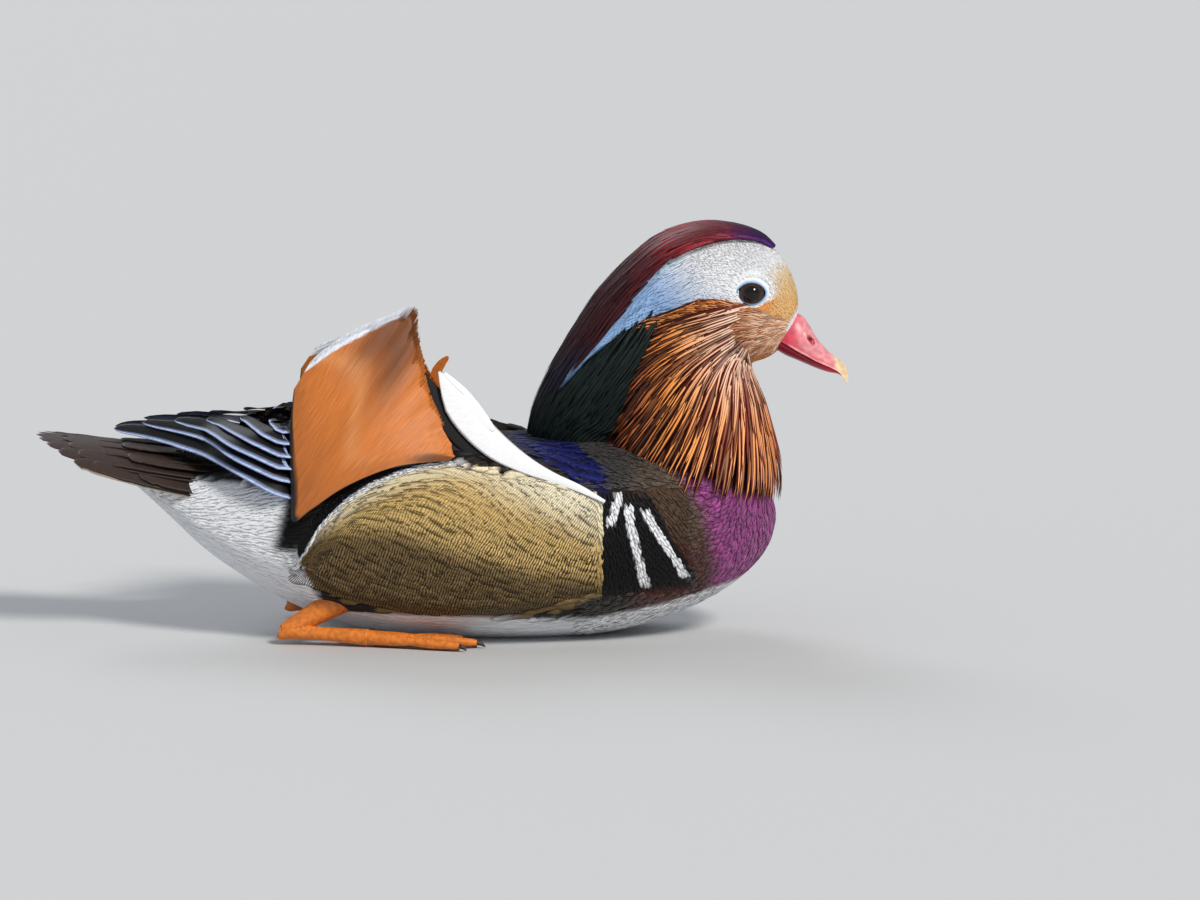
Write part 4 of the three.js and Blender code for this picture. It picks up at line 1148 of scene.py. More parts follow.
def on_flank(p):
    return beside(p) & (torso_degrees(p) > flank_low(p) - 4) & (over_flank(p) < 0.3)


def on_flank_edge(p):
    """The white and black lines along the flank's upper rear edge."""
    over = over_flank(p)
    return (p[:, 0] > -63) & (p[:, 0] < 14) & (over > -1.4) & (over < 5.5) & (np.abs(p[:, 1]) > 28)


def on_bars(p):
    return (p[:, 0] > 68) & (p[:, 0] < 112) & (p[:, 2] > 24) & (p[:, 2] < 70) & ~on_head(p)


def on_shoulder(p):
    over = p[:, 2] - shoulder_middle(p)
    return (over > -1) & (over < 9) & (p[:, 0] > 18) & (p[:, 0] < 74) & (np.abs(p[:, 1]) > 18) & ~on_head(p)


def by_eye(p):
    return np.hypot((p[:, 0] - EYE["x"]) / LID["long"], (p[:, 2] - EYE["z"]) / LID["high"]) < 1


def by_bill(p):
    line = np.interp(p[:, 2], [120, 124.5, 133.5, 142.5, 160], [145.5, 146.2, 150.6, 156.6, 170])
    return (p[:, 0] > line - 0.4) & (p[:, 2] < 143)


def on_face(p):
    top = brow_top(p[:, 0])
    return (p[:, 0] > 112) & (p[:, 2] > 117) & (p[:, 2] < top + 0.5) & ~by_eye(p) & ~by_bill(p)


def plain_body(p):
    return ~on_head(p) & ~on_flank(p) & ~on_bars(p) & ~on_flank_edge(p) & ~on_shoulder(p)


def on_pale(p):
    """The white under parts, with the rim from which longer feathers would reach into them."""
    rear = np.where(p[:, 0] < -45, np.interp(p[:, 0] - 13, PALE_X, PALE_Z) + 3, -99)
    return p[:, 2] <= np.maximum(pale_line(p) + 1, rear)


def small_feathers(name, chosen, spacing, length, half, rows, lift, kind, seed, arch=0.12, stray=0.12,
                   way=lie, whole=False, brightness=0.08, tip=0.2, colour_of=plumage, shorten=None):
    """A coat of short feathers over the chosen part of the skin."""
    roots = scattered(chosen, spacing, seed)
    count = len(roots)
    random = np.random.default_rng(seed + 5)
    lengths = length * random.uniform(0.85, 1.15, count)
    if shorten is not None:
        lengths = np.minimum(lengths, shorten(roots))
    t = np.linspace(0, 1, rows)
    clear = np.clip(4.5 * t, 0, 1)
    lifts = lift[0] * (1 - clear) + lift[1] * (0.1 + 0.9 * t) * clear
    lifts = lifts + random.normal(0, 0.12 * lift[1], (count, 1)) * t
    paths, outs = laid(roots, lengths, rows, lifts, way, seed + 9, stray)
    halves = half * random.uniform(0.85, 1.15, (count, 1)) * leaf(rows, tip=tip)[None, :]
    tones = colour_of(paths)
    if whole:
        tones = np.broadcast_to(tones[:, rows // 2, None, :], tones.shape)
    tones = np.clip(tones * random.normal(1, brightness, (count, 1, 1)), 0, 1)
    shafts = np.clip(tones * SHAFT_LIGHT, 0, 1)
    return coat(name, paths, outs, halves, arch * halves, tones, shafts, kind)


def shoulder_tones(p):
    return np.broadcast_to(SHOULDER_BLUE, p.shape)


# Where along the body the breast's short feathers start.
BREAST_START = 64

small_feathers("breast_coat", lambda p: plain_body(p) & (p[:, 0] > BREAST_START), 1.75, 6.5, 1.0, 5,
               (-0.4, 0.42), MATERIALS["breast"], 11, stray=0.2, brightness=0.2)
small_feathers("back_coat", lambda p: plain_body(p) & (p[:, 0] <= BREAST_START) & ~on_pale(p), 3.0, 13.0, 2.6,
               6, (-0.3, 0.45), MATERIALS["body"], 21)
small_feathers("belly_coat", lambda p: plain_body(p) & (p[:, 0] <= BREAST_START) & on_pale(p),
               1.85, 10.0, 0.75, 5, (-0.3, 0.02), MATERIALS["white"], 31,
               stray=0.1, tip=0.1, brightness=0.03, arch=0.04)
small_feathers("bar_coat", on_bars, 1.4, 5.5, 0.8, 5, (-0.4, 0.35), MATERIALS["face"], 37,
               whole=True, stray=0.04, way=along_bars)
small_feathers("shoulder_coat", on_shoulder, 4.6, 17.0, 3.6, 9, (-0.4, 0.5), MATERIALS["shoulder"],
               38, stray=0.05, arch=0.02, colour_of=shoulder_tones, brightness=0.03,
               way=up_the_shoulder)
small_feathers("flank_edge_coat", on_flank_edge, 1.1, 6.0, 0.6, 5, (-0.5, 0.6), MATERIALS["face"],
               39, whole=True, stray=0.02, way=along_flank_edge)


def flank_wave(p):
    """How far back over the flank a place lies, along the feathers, in millimetres."""
    x, z = p[:, 0], p[:, 2]
    below = -over_flank(p)
    fan = 0.36 * z + 0.009 * np.maximum(0, z - 36) ** 2 * smooth(-25, 30, x)
    return -x + fan + 0.055 * smooth(25, -20, x) * np.maximum(0, 16 - below) ** 2


for side_name, side in SIDES.items():
    made = small_feathers(
        f"flank_coat_{side_name}", lambda p: on_flank(p) & ~on_flank_edge(p) & (p[:, 1] * side > 0),
        2.9, 22.0, 2.3, 9, (-0.3, 0.1), MATERIALS["flank"], 41 + side,
        arch=0.04, stray=0.035, tip=0.25,
        way=over_the_flank, brightness=0.05, shorten=lambda p: np.clip(p[:, 0] + 68, 5, 30))
    set_numbers(made.data, "wave", flank_wave(vertex_places(made.data)))
    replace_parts(made, f"flank_{side_name}")
small_feathers("face_coat", on_face, 1.0, 3.8, 0.46, 4, (-0.16, 0.12), MATERIALS["face"], 51,
               stray=0.14, brightness=0.03, arch=0.05)


def side_cast(x, z, side):
    """Places on the skin at given x and z as seen from one side, and the way out of it there."""
    places, outs = [], []
    for px, pz in zip(x.ravel().tolist(), z.ravel().tolist()):
        hit, _, index, _ = skin_tree.ray_cast((px, side * 90, pz), (0, -side, 0))
        if hit is None:
            hit, _, index, _ = skin_tree.find_nearest((px, side * 4, pz))
        places.append(tuple(hit))
        outs.append(skin_face_out[index])
    return np.array(places).reshape(*x.shape, 3), np.array(outs).reshape(*x.shape, 3)


# Ruff: hackles that fan out from the cheek over the neck. Angle 0 is the throat, 90 the side.
RUFF_ROOTS = [(3, 124), (30, 129), (45, 135), (55, 141), (62, 147)]
RUFF_TIPS = [
    (0, 59), (33, 61), (60, 64), (88, 69), (116, 74),
    (137, 80), (148, 90), (150, 104), (146, 119), (143, 132),
]
PALE_SHAFT = tone(250, 214, 190)
GOLD_SHAFT = tone(248, 158, 72)
EMBER_SHAFT = tone(226, 120, 54)


def head_half(x, z):
    """Half width of the head at places in side view, or zero outside it."""
    rows = row_at(HEAD, share_of(HEAD, x))
    top, bottom, half, widest = (rows[..., k] for k in (1, 2, 3, 4))
    over = z > widest
    reach = np.where(over, top - widest, widest - bottom)
    power = np.where(over, CROWN_POWER, 2)
    share = np.clip(np.abs(z - widest) / reach, 0, 1)
    width = half * (1 - share**power) ** (1 / power)
    return np.where((x < HEAD[0][0]) | (x > HEAD[-1][0]), 0, width)


def ruff_point(z, degrees, side, depth):
    """A place on the ruff, at a depth outside the neck and the cheek."""
    rows = row_at(NECK, share_of(NECK, z))
    angle = np.radians(degrees)
    x = rows[..., 1] + (rows[..., 2] + depth) * np.cos(angle)
    cheek = head_half(x, z)
    out = np.maximum((rows[..., 3] + depth) * np.sin(angle), np.where(cheek > 0, cheek + depth, 0))
    return np.stack([x, side * out, z], -1)


def ruff_layer(side, count, reach, root_shift, half, lift, seed, rows=13, dark=0.0, share_bright=0.6):
    """One layer of hackles: reach is the share of the full length that they come down to."""
    random = np.random.default_rng(seed)
    share = (np.arange(count) + random.uniform(0.2, 0.8, count)) / count
    root = row_at(RUFF_ROOTS, share)
    tip = row_at(RUFF_TIPS, share)
    length = np.clip(reach * random.normal(1, 0.05, count), 0, 1.03)
    start = np.clip(root_shift + random.uniform(-0.1, 0.16, count), -0.05, 0.8)
    f = start[:, None] + (length - start)[:, None] * np.linspace(0, 1, rows)[None, :]
    z = root[:, 1:2] + (tip[:, 1:2] - root[:, 1:2]) * np.sign(f) * np.abs(f) ** 1.15
    degrees = root[:, 0:1] + (tip[:, 0:1] - root[:, 0:1]) * np.maximum(f, 0) ** 0.75
    degrees = np.maximum(degrees - random.uniform(-4, 14, (count, 1)) * np.clip(1 - f, 0, 1) ** 4, -4)
    degrees += random.normal(0, 2.0, (count, 1)) * np.sin(3 * f + random.uniform(0, 6, (count, 1)))
    local = np.linspace(0, 1, rows)[None, :]
    depth = -1.0 + 3.4 * smooth(0, 0.4, f) + lift * (0.4 + 0.6 * smooth(0.1, 0.5, f))
    depth = depth - 2.4 * smooth(0.16, -0.04, f) - 0.7 * (1 - np.minimum(1, local * 5))
    depth = depth + random.normal(0, 0.2, (count, 1)) * smooth(0.1, 0.4, f)
    depth = depth + 0.5 * local**6 * random.uniform(-0.5, 1.6, (count, 1))
    paths = ruff_point(z, degrees, side, depth)
    outs = unit(ruff_point(z, degrees, side, depth + 1) - paths + np.array([0, 0.12 * side, 0]))
    t = np.linspace(0, 1, rows)
    shape = strand_shape(t, 0.45, 1.4, 3.6, 0.7, 0.04)
    halves = half * random.uniform(0.85, 1.15, (count, 1)) * shape[None, :]
    front = smooth(96, 132, paths[..., 0])[..., None]
    high = smooth(88, 128, paths[..., 2])[..., None]
    rear = smooth(104, 84, paths[..., 0])[..., None]
    base = (RUST * (1 - rear) + DARK_RUST * rear) * (0.55 + 0.75 * front) * (1 - dark)
    # Whitish pink shafts towards the front and top near the cheek: partly the hackles' own pale shafts,
    # partly painted highlight.
    throat = front * (0.15 + 0.85 * high)
    pale = GOLD_SHAFT * (1 - throat) + PALE_SHAFT * throat
    pale = pale * (1 - rear) + EMBER_SHAFT * 0.7 * rear
    bright = random.uniform(0, 1, (count, 1, 1)) < share_bright
    lit, dull = random.uniform(0.85, 1.15, (count, 1, 1)), random.uniform(0.12, 0.4, (count, 1, 1))
    pale = pale * np.where(bright, lit, dull)
    base = base * random.uniform(0.6, 1.1, (count, 1, 1))
    rootward = smooth(0.22, 0.0, f) * smooth(100, 128, paths[..., 0]) * random.uniform(0.1, 0.8, (count, 1))
    rootward = rootward[..., None]
    base = base * (1 - rootward) + pale * 0.8 * rootward
    return paths, outs, halves, base, np.clip(pale, 0, 1)


def ruff(side_name, side):
    layers = [
        ruff_layer(side, 86, 1.0, 0.0, 1.9, -0.6, 61, dark=0.4, share_bright=0.5),
        ruff_layer(side, 80, 0.93, 0.04, 1.7, -0.2, 62, dark=0.2, share_bright=0.5),
        ruff_layer(side, 78, 0.8, 0.02, 1.6, 0.2, 63, share_bright=0.5),
        ruff_layer(side, 76, 0.62, 0.02, 1.4, 0.6, 64, share_bright=0.55),
        ruff_layer(side, 76, 0.44, 0.0, 1.15, 0.95, 65, share_bright=0.65),
        ruff_layer(side, 80, 0.29, 0.0, 0.85, 1.2, 66, share_bright=0.8),
    ]
    parts = [np.concatenate([layer[k] for layer in layers]) for k in range(5)]
    paths, outs, halves, colours, shafts = parts
    return coat(f"ruff_{side_name}", paths, outs, halves, 0.35 * halves, colours, shafts,
                MATERIALS["hackle"])


for side_name, side in SIDES.items():
    made = ruff(side_name, side)
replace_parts(made, "neck", "head")


def cheek_hackles(side_name, side, count, seed, rows=9):
    """Short hackles under the white stripe and on the cheek, which start the ruff."""
    random = np.random.default_rng(seed)
    x = 104 + 48 * random.uniform(0, 1, count) ** 0.8
    under = random.uniform(0, 1, count) ** 1.1 * np.interp(x, [104, 120, 135, 148], [7, 13, 20, 16])
    low = np.interp(x, [104, 112, 124, 130, 136, 142, 148], [143.6, 147.4, 148, 146.5, 144.5, 144, 141])
    z = low - 0.6 - under
    length = np.interp(x, [104, 122, 134, 148], [18, 13, 9, 5]) * random.uniform(0.75, 1.2, count)
    away = np.arctan2(z - 137, x - 162)
    t = np.linspace(0, 1, rows)
    turn = away[:, None] + 0.32 * t * (length / 18)[:, None] + random.normal(0, 0.06, (count, 1))
    step = (length / (rows - 1))[:, None]
    along = x[:, None] + np.concatenate([np.zeros((count, 1)), np.cumsum(np.cos(turn) * step, 1)[:, :-1]], 1)
    height = z[:, None] + np.concatenate([np.zeros((count, 1)), np.cumsum(np.sin(turn) * step, 1)[:, :-1]], 1)
    height = np.minimum(height, brow_low(along) - 0.2)
    places, outs = side_cast(along, height, side)
    rise = 0.3 + 1.6 * smooth(136, 114, along) * np.minimum(1, t * 1.5)
    lift = -0.3 + rise * np.minimum(1, t * 3 + 0.2) + random.normal(0, 0.15, (count, 1)) * t
    paths = places + outs * lift[..., None]
    half = np.interp(x, [104, 122, 134, 148], [1.0, 0.8, 0.55, 0.42]) * random.uniform(0.8, 1.2, count)
    shape = strand_shape(t, 0.5, 2, 3.5, 0.8, 0.05)
    front = smooth(116, 148, along)[..., None]
    base = RUST * (1 - front) + CHEEK * front
    base = base * (1 - 0.5 * smooth(112, 98, along)[..., None])
    pale = GOLD_SHAFT * (1 - front) + (GOLD * 0.45 + WHITE * 0.55) * front
    bright = np.where(random.uniform(0, 1, (count, 1, 1)) < 0.55, 1.05, 0.4)
    bright = bright * random.uniform(0.85, 1.1, (count, 1, 1))
    tones = np.clip(base * random.uniform(0.6, 1.15, (count, 1, 1)), 0, 1)
    halves = half[:, None] * shape[None, :]
    return coat(f"cheek_{side_name}", paths, outs, halves, 0.25 * halves, tones, np.clip(pale * bright, 0, 1),
                MATERIALS["hackle"])


for side_name, side in SIDES.items():
    cheek_hackles(side_name, side, 2200, 68)


# Crest: long strands over the crown, the nape and the mane below the white stripe.

def brow_share(x, z):
    """Where a place in side view is across the white stripe: 0 at its lower edge, 1 at its upper edge."""
    low = brow_low(x)
    return (z - low) / np.maximum(brow_top(x) - low, 0.8)


def crown_tones(p):
    x, y, z = p[..., 0], np.abs(p[..., 1]), p[..., 2]
    flat = np.stack([x, y, z], -1).reshape(-1, 3)
    x, y, z = flat.T
    red = painted(crown_red(x, z), smooth(110, 94, z) * smooth(76, 62, x), GREEN_BLACK)
    red = painted(red, smooth(6, 2, y) * smooth(118, 134, x) * 0.6, NIGHT_BLUE)
    mane = smooth(0.4, 0.1, brow_share(x, z)) * smooth(104, 98, x)
    return painted(red, mane, GREEN_BLACK).reshape(p.shape)


def crest_strands(name, count, start, end, spread, length, half, reach, seed, rows=11):
    random = np.random.default_rng(seed)
    share = random.uniform(start, end, count)
    degrees = random.uniform(-1, 1, count) * np.interp(share, *spread)
    size = random.uniform(length[0], length[1], count)
    last = np.minimum(share + size, 1.0 + random.uniform(-0.03, 0.012, count))
    t = np.linspace(0, 1, rows)
    s = share[:, None] + (last - share)[:, None] * t
    turn = degrees[:, None] * (1 - 0.16 * t) + random.normal(0, 1.6, (count, 1)) * t
    deep = reach[0] + (reach[1] - reach[0]) * np.minimum(1, t * 2.5)
    deep = deep[None, :] + random.normal(0, 0.012, (count, 1)) * t
    deep = deep + 0.02 * t**4 * random.uniform(-1, 1.5, (count, 1))
    paths = crest_point(s, turn, deep)
    outs = unit(crest_point(s, turn, deep + 0.1) - paths)
    middle = paths[:, rows // 2]
    seen = paths[:, rows // 4:]
    stripe = brow_share(seen[..., 0], seen[..., 2])
    keep = ~((stripe > np.where(seen[..., 0] > 66, -0.12, 0.1)) & (stripe < 0.9) & (seen[..., 0] > 50)).any(1)
    shape = strand_shape(t, 0.4, 2, 4, 0.8, 0.04)
    halves = half * random.uniform(0.8, 1.25, (count, 1)) * shape[None, :]
    tones = crown_tones(middle)[:, None, :] * random.uniform(0.65, 1.35, (count, 1, 1))
    paths, outs, halves, tones = paths[keep], outs[keep], halves[keep], np.clip(tones[keep], 0, 1)
    return coat(name, paths, outs, halves, 0.3 * halves, tones, np.clip(tones * SHAFT_LIGHT, 0, 1),
                MATERIALS["crest"])


made = crest_strands("crest_crown", 1800, 0.0, 0.42, ([0, 0.15, 0.42], [88, 95, 120]), (0.1, 0.17), 0.75,
                     (0.86, 0.985), 71, rows=9)
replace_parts(made, "crest")
crest_strands("crest_mane", 2700, 0.3, 0.93, ([0.3, 0.5, 0.93], [120, 165, 180]), (0.14, 0.26), 0.75,
              (0.84, 0.985), 72)


def brow_strands(side_name, side, count, seed, rows=8):
    """White strands along the stripe from over the eye to its point on the nape."""
    random = np.random.default_rng(seed)
    x = 52 + (131 - 52) * random.uniform(0, 1, count) ** 0.85
    across = random.uniform(0.0, 1.0, count)
    length = np.interp(x, [52, 70, 90, 110, 130], [18, 24, 22, 16, 9]) * random.uniform(0.8, 1.2, count)
    t = np.linspace(0, 1, rows)
    slope = np.interp(x, [50, 80, 100, 130], [0.62, 0.68, 0.85, 0.98])
    along = np.maximum(x[:, None] - (length * slope)[:, None] * t, 49.4)
    low = brow_low(along)
    drift = np.clip(across[:, None] + random.normal(0, 0.03, (count, 1)) * t, 0, 1)
    z = low + (brow_top(along) - low) * drift
    places, outs = side_cast(along, z, side)
    rear = smooth(92, 70, along)
    lift = -0.05 + (0.12 + 2.5 * rear) * np.minimum(1, t * 1.4) + random.normal(0, 0.02, (count, 1)) * t
    paths = places + outs * lift[..., None]
    half = np.interp(x, [52, 80, 131], [0.6, 0.85, 0.68]) * random.uniform(0.8, 1.2, count)
    shape = strand_shape(t, 0.5, 2, 4, 0.8, 0.05)
    shade = smooth(124, 84, along + 0.8 * (z - 156))[..., None]
    tones = WHITE * (1 - shade) + SHADE_WHITE * shade
    tones = np.clip(tones * random.uniform(0.95, 1.03, (count, 1, 1)), 0, 1)
    halves = half[:, None] * shape[None, :]
    return coat(f"brow_{side_name}", paths, outs, halves, 0.06 * halves, tones, tones, MATERIALS["brow"])


for side_name, side in SIDES.items():
    brow_strands(side_name, side, 2400, 81)


# Vanes of the wing, the tail and the scapulars: broad feathers with a shaft, their own edges and frayed tips.

EVEN_WEB = (-1, -0.72, -0.4, -0.12, 0, 0.12, 0.4, 0.72, 1)


def broad_vanes(name, vanes, kind, rows=26, across=EVEN_WEB):
    """Broad feathers joined into one piece.

    Each vane is a dict. path is its shaft, up its outer side, halves the half widths of its two webs, shape
    their course along the shaft, tip the power that rounds the end, arch the height of the shaft and fray the
    raggedness. Colours run from root_tone to tip_tone, and edges gives columns of the web their own colour.
    """
    random = np.random.default_rng(5)
    across = np.asarray(across)
    t = np.linspace(0, 1, rows)
    paths, outs, halves, arches, colours, shafts = [], [], [], [], [], []
    for vane in vanes:
        path = row_at(vane["path"], t)
        paths.append(path)
        outs.append(unit(np.broadcast_to(np.asarray(vane["up"], float), path.shape)))
        swell = np.minimum(1, 0.5 + 2 * t) * np.sqrt(np.clip(1 - t ** vane.get("tip", 4), 0, 1))
        swell = np.maximum(swell, 0.05)
        course = row_at(vane["shape"], t) if "shape" in vane else swell[:, None]
        wide = np.array(vane["halves"])[None, :] * course
        ragged = 1 + vane.get("fray", 0.04) * random.normal(0, 1, (rows, 2)) * smooth(0.4, 1, t)[:, None]
        halves.append(np.maximum(wide, 0.1) * ragged)
        arches.append(np.full(rows, vane.get("arch", 0.8)) * swell)
        tones = vane["root_tone"] * (1 - t[:, None]) + vane["tip_tone"] * t[:, None]
        tones = np.repeat(tones[:, None, :], len(across), axis=1)
        for column, edge_tone in vane.get("edges", {}).items():
            tones[:, column] = edge_tone
        colours.append(tones)
        shafts.append(np.broadcast_to(vane.get("shaft", vane["root_tone"] * 1.5), tones.shape))
    return coat(name, np.array(paths), np.array(outs), np.array(halves), np.array(arches), np.array(colours),
                np.clip(np.array(shafts), 0, 1), kind, across, bake_map=False)


# Lower edges of the primaries that show, in side view: x and z back to each tip.
PRIMARY_EDGES = [
    [(-60, 61.6), (-69, 66.5), (-89.6, 76.5), (-110.4, 83.3), (-128, 87.2), (-144.5, 88.9)],
    [(-58, 68.2), (-66.8, 72.3), (-88.6, 81.8), (-107.3, 88.6), (-132.2, 92.3)],
    [(-58, 74), (-65.3, 77), (-84.5, 85.1), (-102.1, 91), (-117.7, 93.8)],
    [(-58, 79.2), (-65.3, 82.2), (-84.5, 90.2), (-103.6, 94.7)],
    [(-58, 84.2), (-64.8, 87.4), (-77.2, 92.6), (-88.6, 96.1)],
    [(-58, 89.2), (-64.8, 92.6), (-75, 95.8)],
]
PRIMARY_UPPER = [7.5, 6.5, 6, 5.5, 5, 4.5]
QUILL_BLACK = tone(15, 13, 18)
QUILL_EDGE = tone(178, 196, 240)
SPECULUM = tone(18, 58, 74)
COVERT_BLACK = tone(14, 12, 18)


def primaries(side):
    vanes = []
    for i, (line, upper) in enumerate(zip(PRIMARY_EDGES, PRIMARY_UPPER)):
        rise = i / (len(PRIMARY_EDGES) - 1)
        x, z = row_at(line, np.linspace(0, 1, 14)).T
        share = (x - x[0]) / (x[-1] - x[0])
        lean = 0.75 - 0.2 * rise
        slope = np.sqrt(1 - lean**2)
        root_y, tip_y = 41 - 14 * rise, 7 + 14 * rise
        lower = 4.2
        y = root_y + (tip_y - root_y) * share**1.1 - slope * lower
        z = z - 1.5 * share
        bed = side * side_cast(x, z + lean * lower, side)[0][:, 1] + 2.8 + 4.8 * rise
        around = np.pad(bed, 2, mode="edge")
        bed = np.max([around[k:k + len(bed)] for k in range(5)], axis=0)
        bed = np.convolve(np.pad(bed, 2, mode="edge"), [1, 2, 3, 2, 1], "valid") / 9
        y = side * (y + smooth(-108, -92, x) * smooth(-61, -69, x) * np.maximum(0, bed - y))
        halves = (upper, lower) if side == LEFT else (lower, upper)
        columns = (8, 7, 6) if side == LEFT else (0, 1, 2)
        outer = dict(zip(columns, (QUILL_EDGE, QUILL_EDGE, 0.5 * QUILL_EDGE)))
        vanes.append({
            "path": np.stack([x, y, z + lean * lower], -1), "up": (0.1, side * lean, slope), "halves": halves,
            "tip": 3, "root_tone": QUILL_BLACK, "tip_tone": QUILL_BLACK, "edges": outer, "arch": 0.4,
        })
    return vanes


def coverts(side):
    vanes = []
    tiers = [
        (6, (-10, -20), (-50, -58), (-0.1, 0.6), 6.2, 0.0, 0.1, SPECULUM),
        (6, (-2, -10), (-44, -56), (0.1, 0.8), 5.4, 0.3, 0.0, COVERT_BLACK),
        (4, (22, 14), (-16, -30), (0.5, 0.95), 4.6, -0.8, 0.0, COVERT_BLACK),
    ]
    for count, start, end, heights, half, lift, drop, colour in tiers:
        for i in range(count):
            rise = i / (count - 1)
            height = heights[0] + (heights[1] - heights[0]) * rise
            x0 = start[0] + (start[1] - start[0]) * rise
            x1 = end[0] + (end[1] - end[0]) * rise
            s = np.array([0, 0.35, 0.7, 1])
            lifts = np.array([-1.6, lift, lift + 0.4, lift + 0.7])
            path = wing_point(x0 + (x1 - x0) * s, height - drop * s, side, lifts)
            vanes.append({
                "path": path, "up": (0, side * 0.78, 0.62), "halves": (half, half), "tip": 4,
                "root_tone": colour * 0.8, "tip_tone": colour, "arch": 0.3,
            })
    return vanes


# Scapulars: shaft points, half widths along the lower and the upper web, and colour.
SCAPULARS = [
    ([(50, 45, 74), (34, 46, 78), (18, 42, 86), (5, 37.5, 97), (-4, 33, 109), (-8, 31, 119)],
     (3, 5, 6.5, 6, 4.5, 0.8), (3, 5, 6, 6, 5, 0.8), BLACK),
    ([(71, 47, 65.5), (60, 49, 71), (48, 48.5, 75.5), (36, 46.5, 80.5), (24, 43, 87.5), (14, 39, 97),
      (6, 35.5, 106.5), (-1, 32.5, 119.5)],
     (0.8, 1.7, 2.4, 4.4, 6.4, 6.4, 5.2, 0.5), (0.6, 1.7, 2.4, 3.8, 5.6, 6.6, 5.4, 0.5), WHITE),
    ([(1, 31.5, 118.5), (8, 33.5, 110.5), (15.5, 36.5, 102.3), (23.4, 40, 94.8)],
     (3, 4, 5, 1.2), (1.2, 3.4, 3.2, 0.6), WHITE),
]


def scapulars(side):
    vanes = []
    for i, (path, lower, upper, colour) in enumerate(SCAPULARS):
        path = np.array(path, float) * np.array([1, side, 1])
        path[:, 1] += side * 0.7
        bed = side * side_cast(path[:, 0], path[:, 2], side)[0][:, 1] + 2.6
        bare = (i == 1) & (path[:, 0] > 30)
        path[:, 1] = side * np.where(bare, np.maximum(side * path[:, 1], bed), side * path[:, 1])
        if side == LEFT:
            path[:, 2] -= 13 * smooth(72, 102, path[:, 2])
        halves = np.stack([lower, upper] if side == LEFT else [upper, lower], -1)
        vanes.append({
            "path": path, "up": (0, side * 0.9, 0.44), "halves": (1, 1), "shape": halves, "root_tone": colour,
            "tip_tone": colour, "arch": 0.45, "shaft": colour, "fray": 0.02,
        })
    return vanes


for side_name, side in SIDES.items():
    made = broad_vanes(f"wing_{side_name}_quills", primaries(side) + coverts(side), MATERIALS["quill"],
                       rows=32, across=(-1, -0.74, -0.66, -0.3, 0, 0.3, 0.66, 0.74, 1))
    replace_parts(made, f"wing_{side_name}")
    broad_vanes(f"scapulars_{side_name}", scapulars(side), MATERIALS["white_vane"],
                rows=40, across=(-1, -0.8, -0.62, -0.3, 0, 0.3, 0.62, 0.8, 1))

# Tail: three layers of feathers. Each has a count, a length, a spread in degrees and a height.
TAIL_LAYERS = [(10, 87, 21, 0), (9, 76, 18, 1.0), (7, 50, 15, 2.6)]
TAIL_ROOT = (-92, 80.5)
TAIL_BROWN = tone(46, 34, 30)
TAIL_PALE = tone(206, 192, 170)


def tail_vanes():
    vanes = []
    for layer, (count, length, spread, raise_by) in enumerate(TAIL_LAYERS):
        for i in range(count):
            place = 2 * i / (count - 1) - 1
            turn = math.radians(spread * place)
            reach = length * (1 - 0.16 * place**2)
            s = np.array([0, 0.35, 0.7, 1])
            sag = np.array([-1, -0.6, -0.3, 0]) + raise_by * (1 - s * 0.7)
            x = TAIL_ROOT[0] - reach * s * math.cos(turn)
            y = -place * (19 + 15 * s * reach / 87)
            z = TAIL_ROOT[1] + 7.5 * s**1.3 * (reach / 87) - place**2 * (17 - 12 * s * reach / 87) + sag
            outermost = layer == 0 and i in (0, count - 1)
            edge = {0 if i else 8: TAIL_PALE} if outermost else {}
            vanes.append({
                "path": np.stack([x, y, z], -1), "up": (0, -place * 0.6, 1), "halves": (6.6, 6.6), "tip": 5,
                "root_tone": TAIL_BROWN * 0.7, "tip_tone": TAIL_BROWN * 1.5, "fray": 0.09,
                "edges": edge, "arch": 0.4,
            })
    return vanes


made = broad_vanes("tail_fan", tail_vanes(), MATERIALS["quill"])
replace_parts(made, "tail")


# Sails: the broad inner feathers that stand up. SAIL_BASE has x, angle and lift of the shaft on the torso,
# the others have x, y and z of the shaft's upper part and of the free margin.
SAIL_BASE = [(4, 46, 5.6), (-19, 41, 6.0), (-40, 29, 5.2), (-55, 15, 4.4), (-63, 8, 3.6)]
SAIL_REAR = [(-65, 46.5, 70), (-65.5, 43.5, 84), (-65.5, 40, 98), (-64, 36, 112)]
SAIL_MARGINS = {
    RIGHT: [
        (8, 41, 85), (1, 38, 97), (-5, 36, 108), (-9, 34, 121), (-12, 32, 133),
        (-14.5, 28, 143.5), (-30, 31, 138.6), (-45, 34, 131.8), (-58, 35, 122),
    ],
    LEFT: [
        (8, 41, 85), (1, 38, 97), (-6, 36, 107), (-11, 34, 116), (-15, 32, 125),
        (-20, 30, 131.5), (-33, 31.5, 128), (-46, 34, 125), (-59, 35.5, 119.5),
    ],
}
# The small curled feather in front of the left sail.
CURL = [(-3, 37.5, 92), (-4, 36.5, 102), (-3.5, 36, 111), (1.5, 35.5, 117.5)]
SAIL_BULGE = 5
SAIL_ORANGE = tone(204, 116, 46)
SAIL_BROWN = tone(140, 78, 34)
SAIL_WHITE = tone(228, 234, 244)
SAIL_HIGHLIGHT = tone(226, 160, 104)


def sail_curves(side):
    base = np.array([torso_point(x, degrees, side, lift) for x, degrees, lift in SAIL_BASE])
    rear = np.array(SAIL_REAR) * np.array([1, side, 1])
    margin = np.array(SAIL_MARGINS[side]) * np.array([1, side, 1])
    return np.concatenate([base, rear]), margin


def sail_point(side, s, t, push=0.0):
    shaft, margin = sail_curves(side)
    s, t = np.broadcast_arrays(s, t)
    a, b = row_at(shaft, s), row_at(margin, s)
    point = a + (b - a) * t[..., None]
    point[..., 1] += side * (SAIL_BULGE * np.sin(np.pi * np.clip(t, 0, 1)) * np.sin(np.pi * s) + push)
    return point


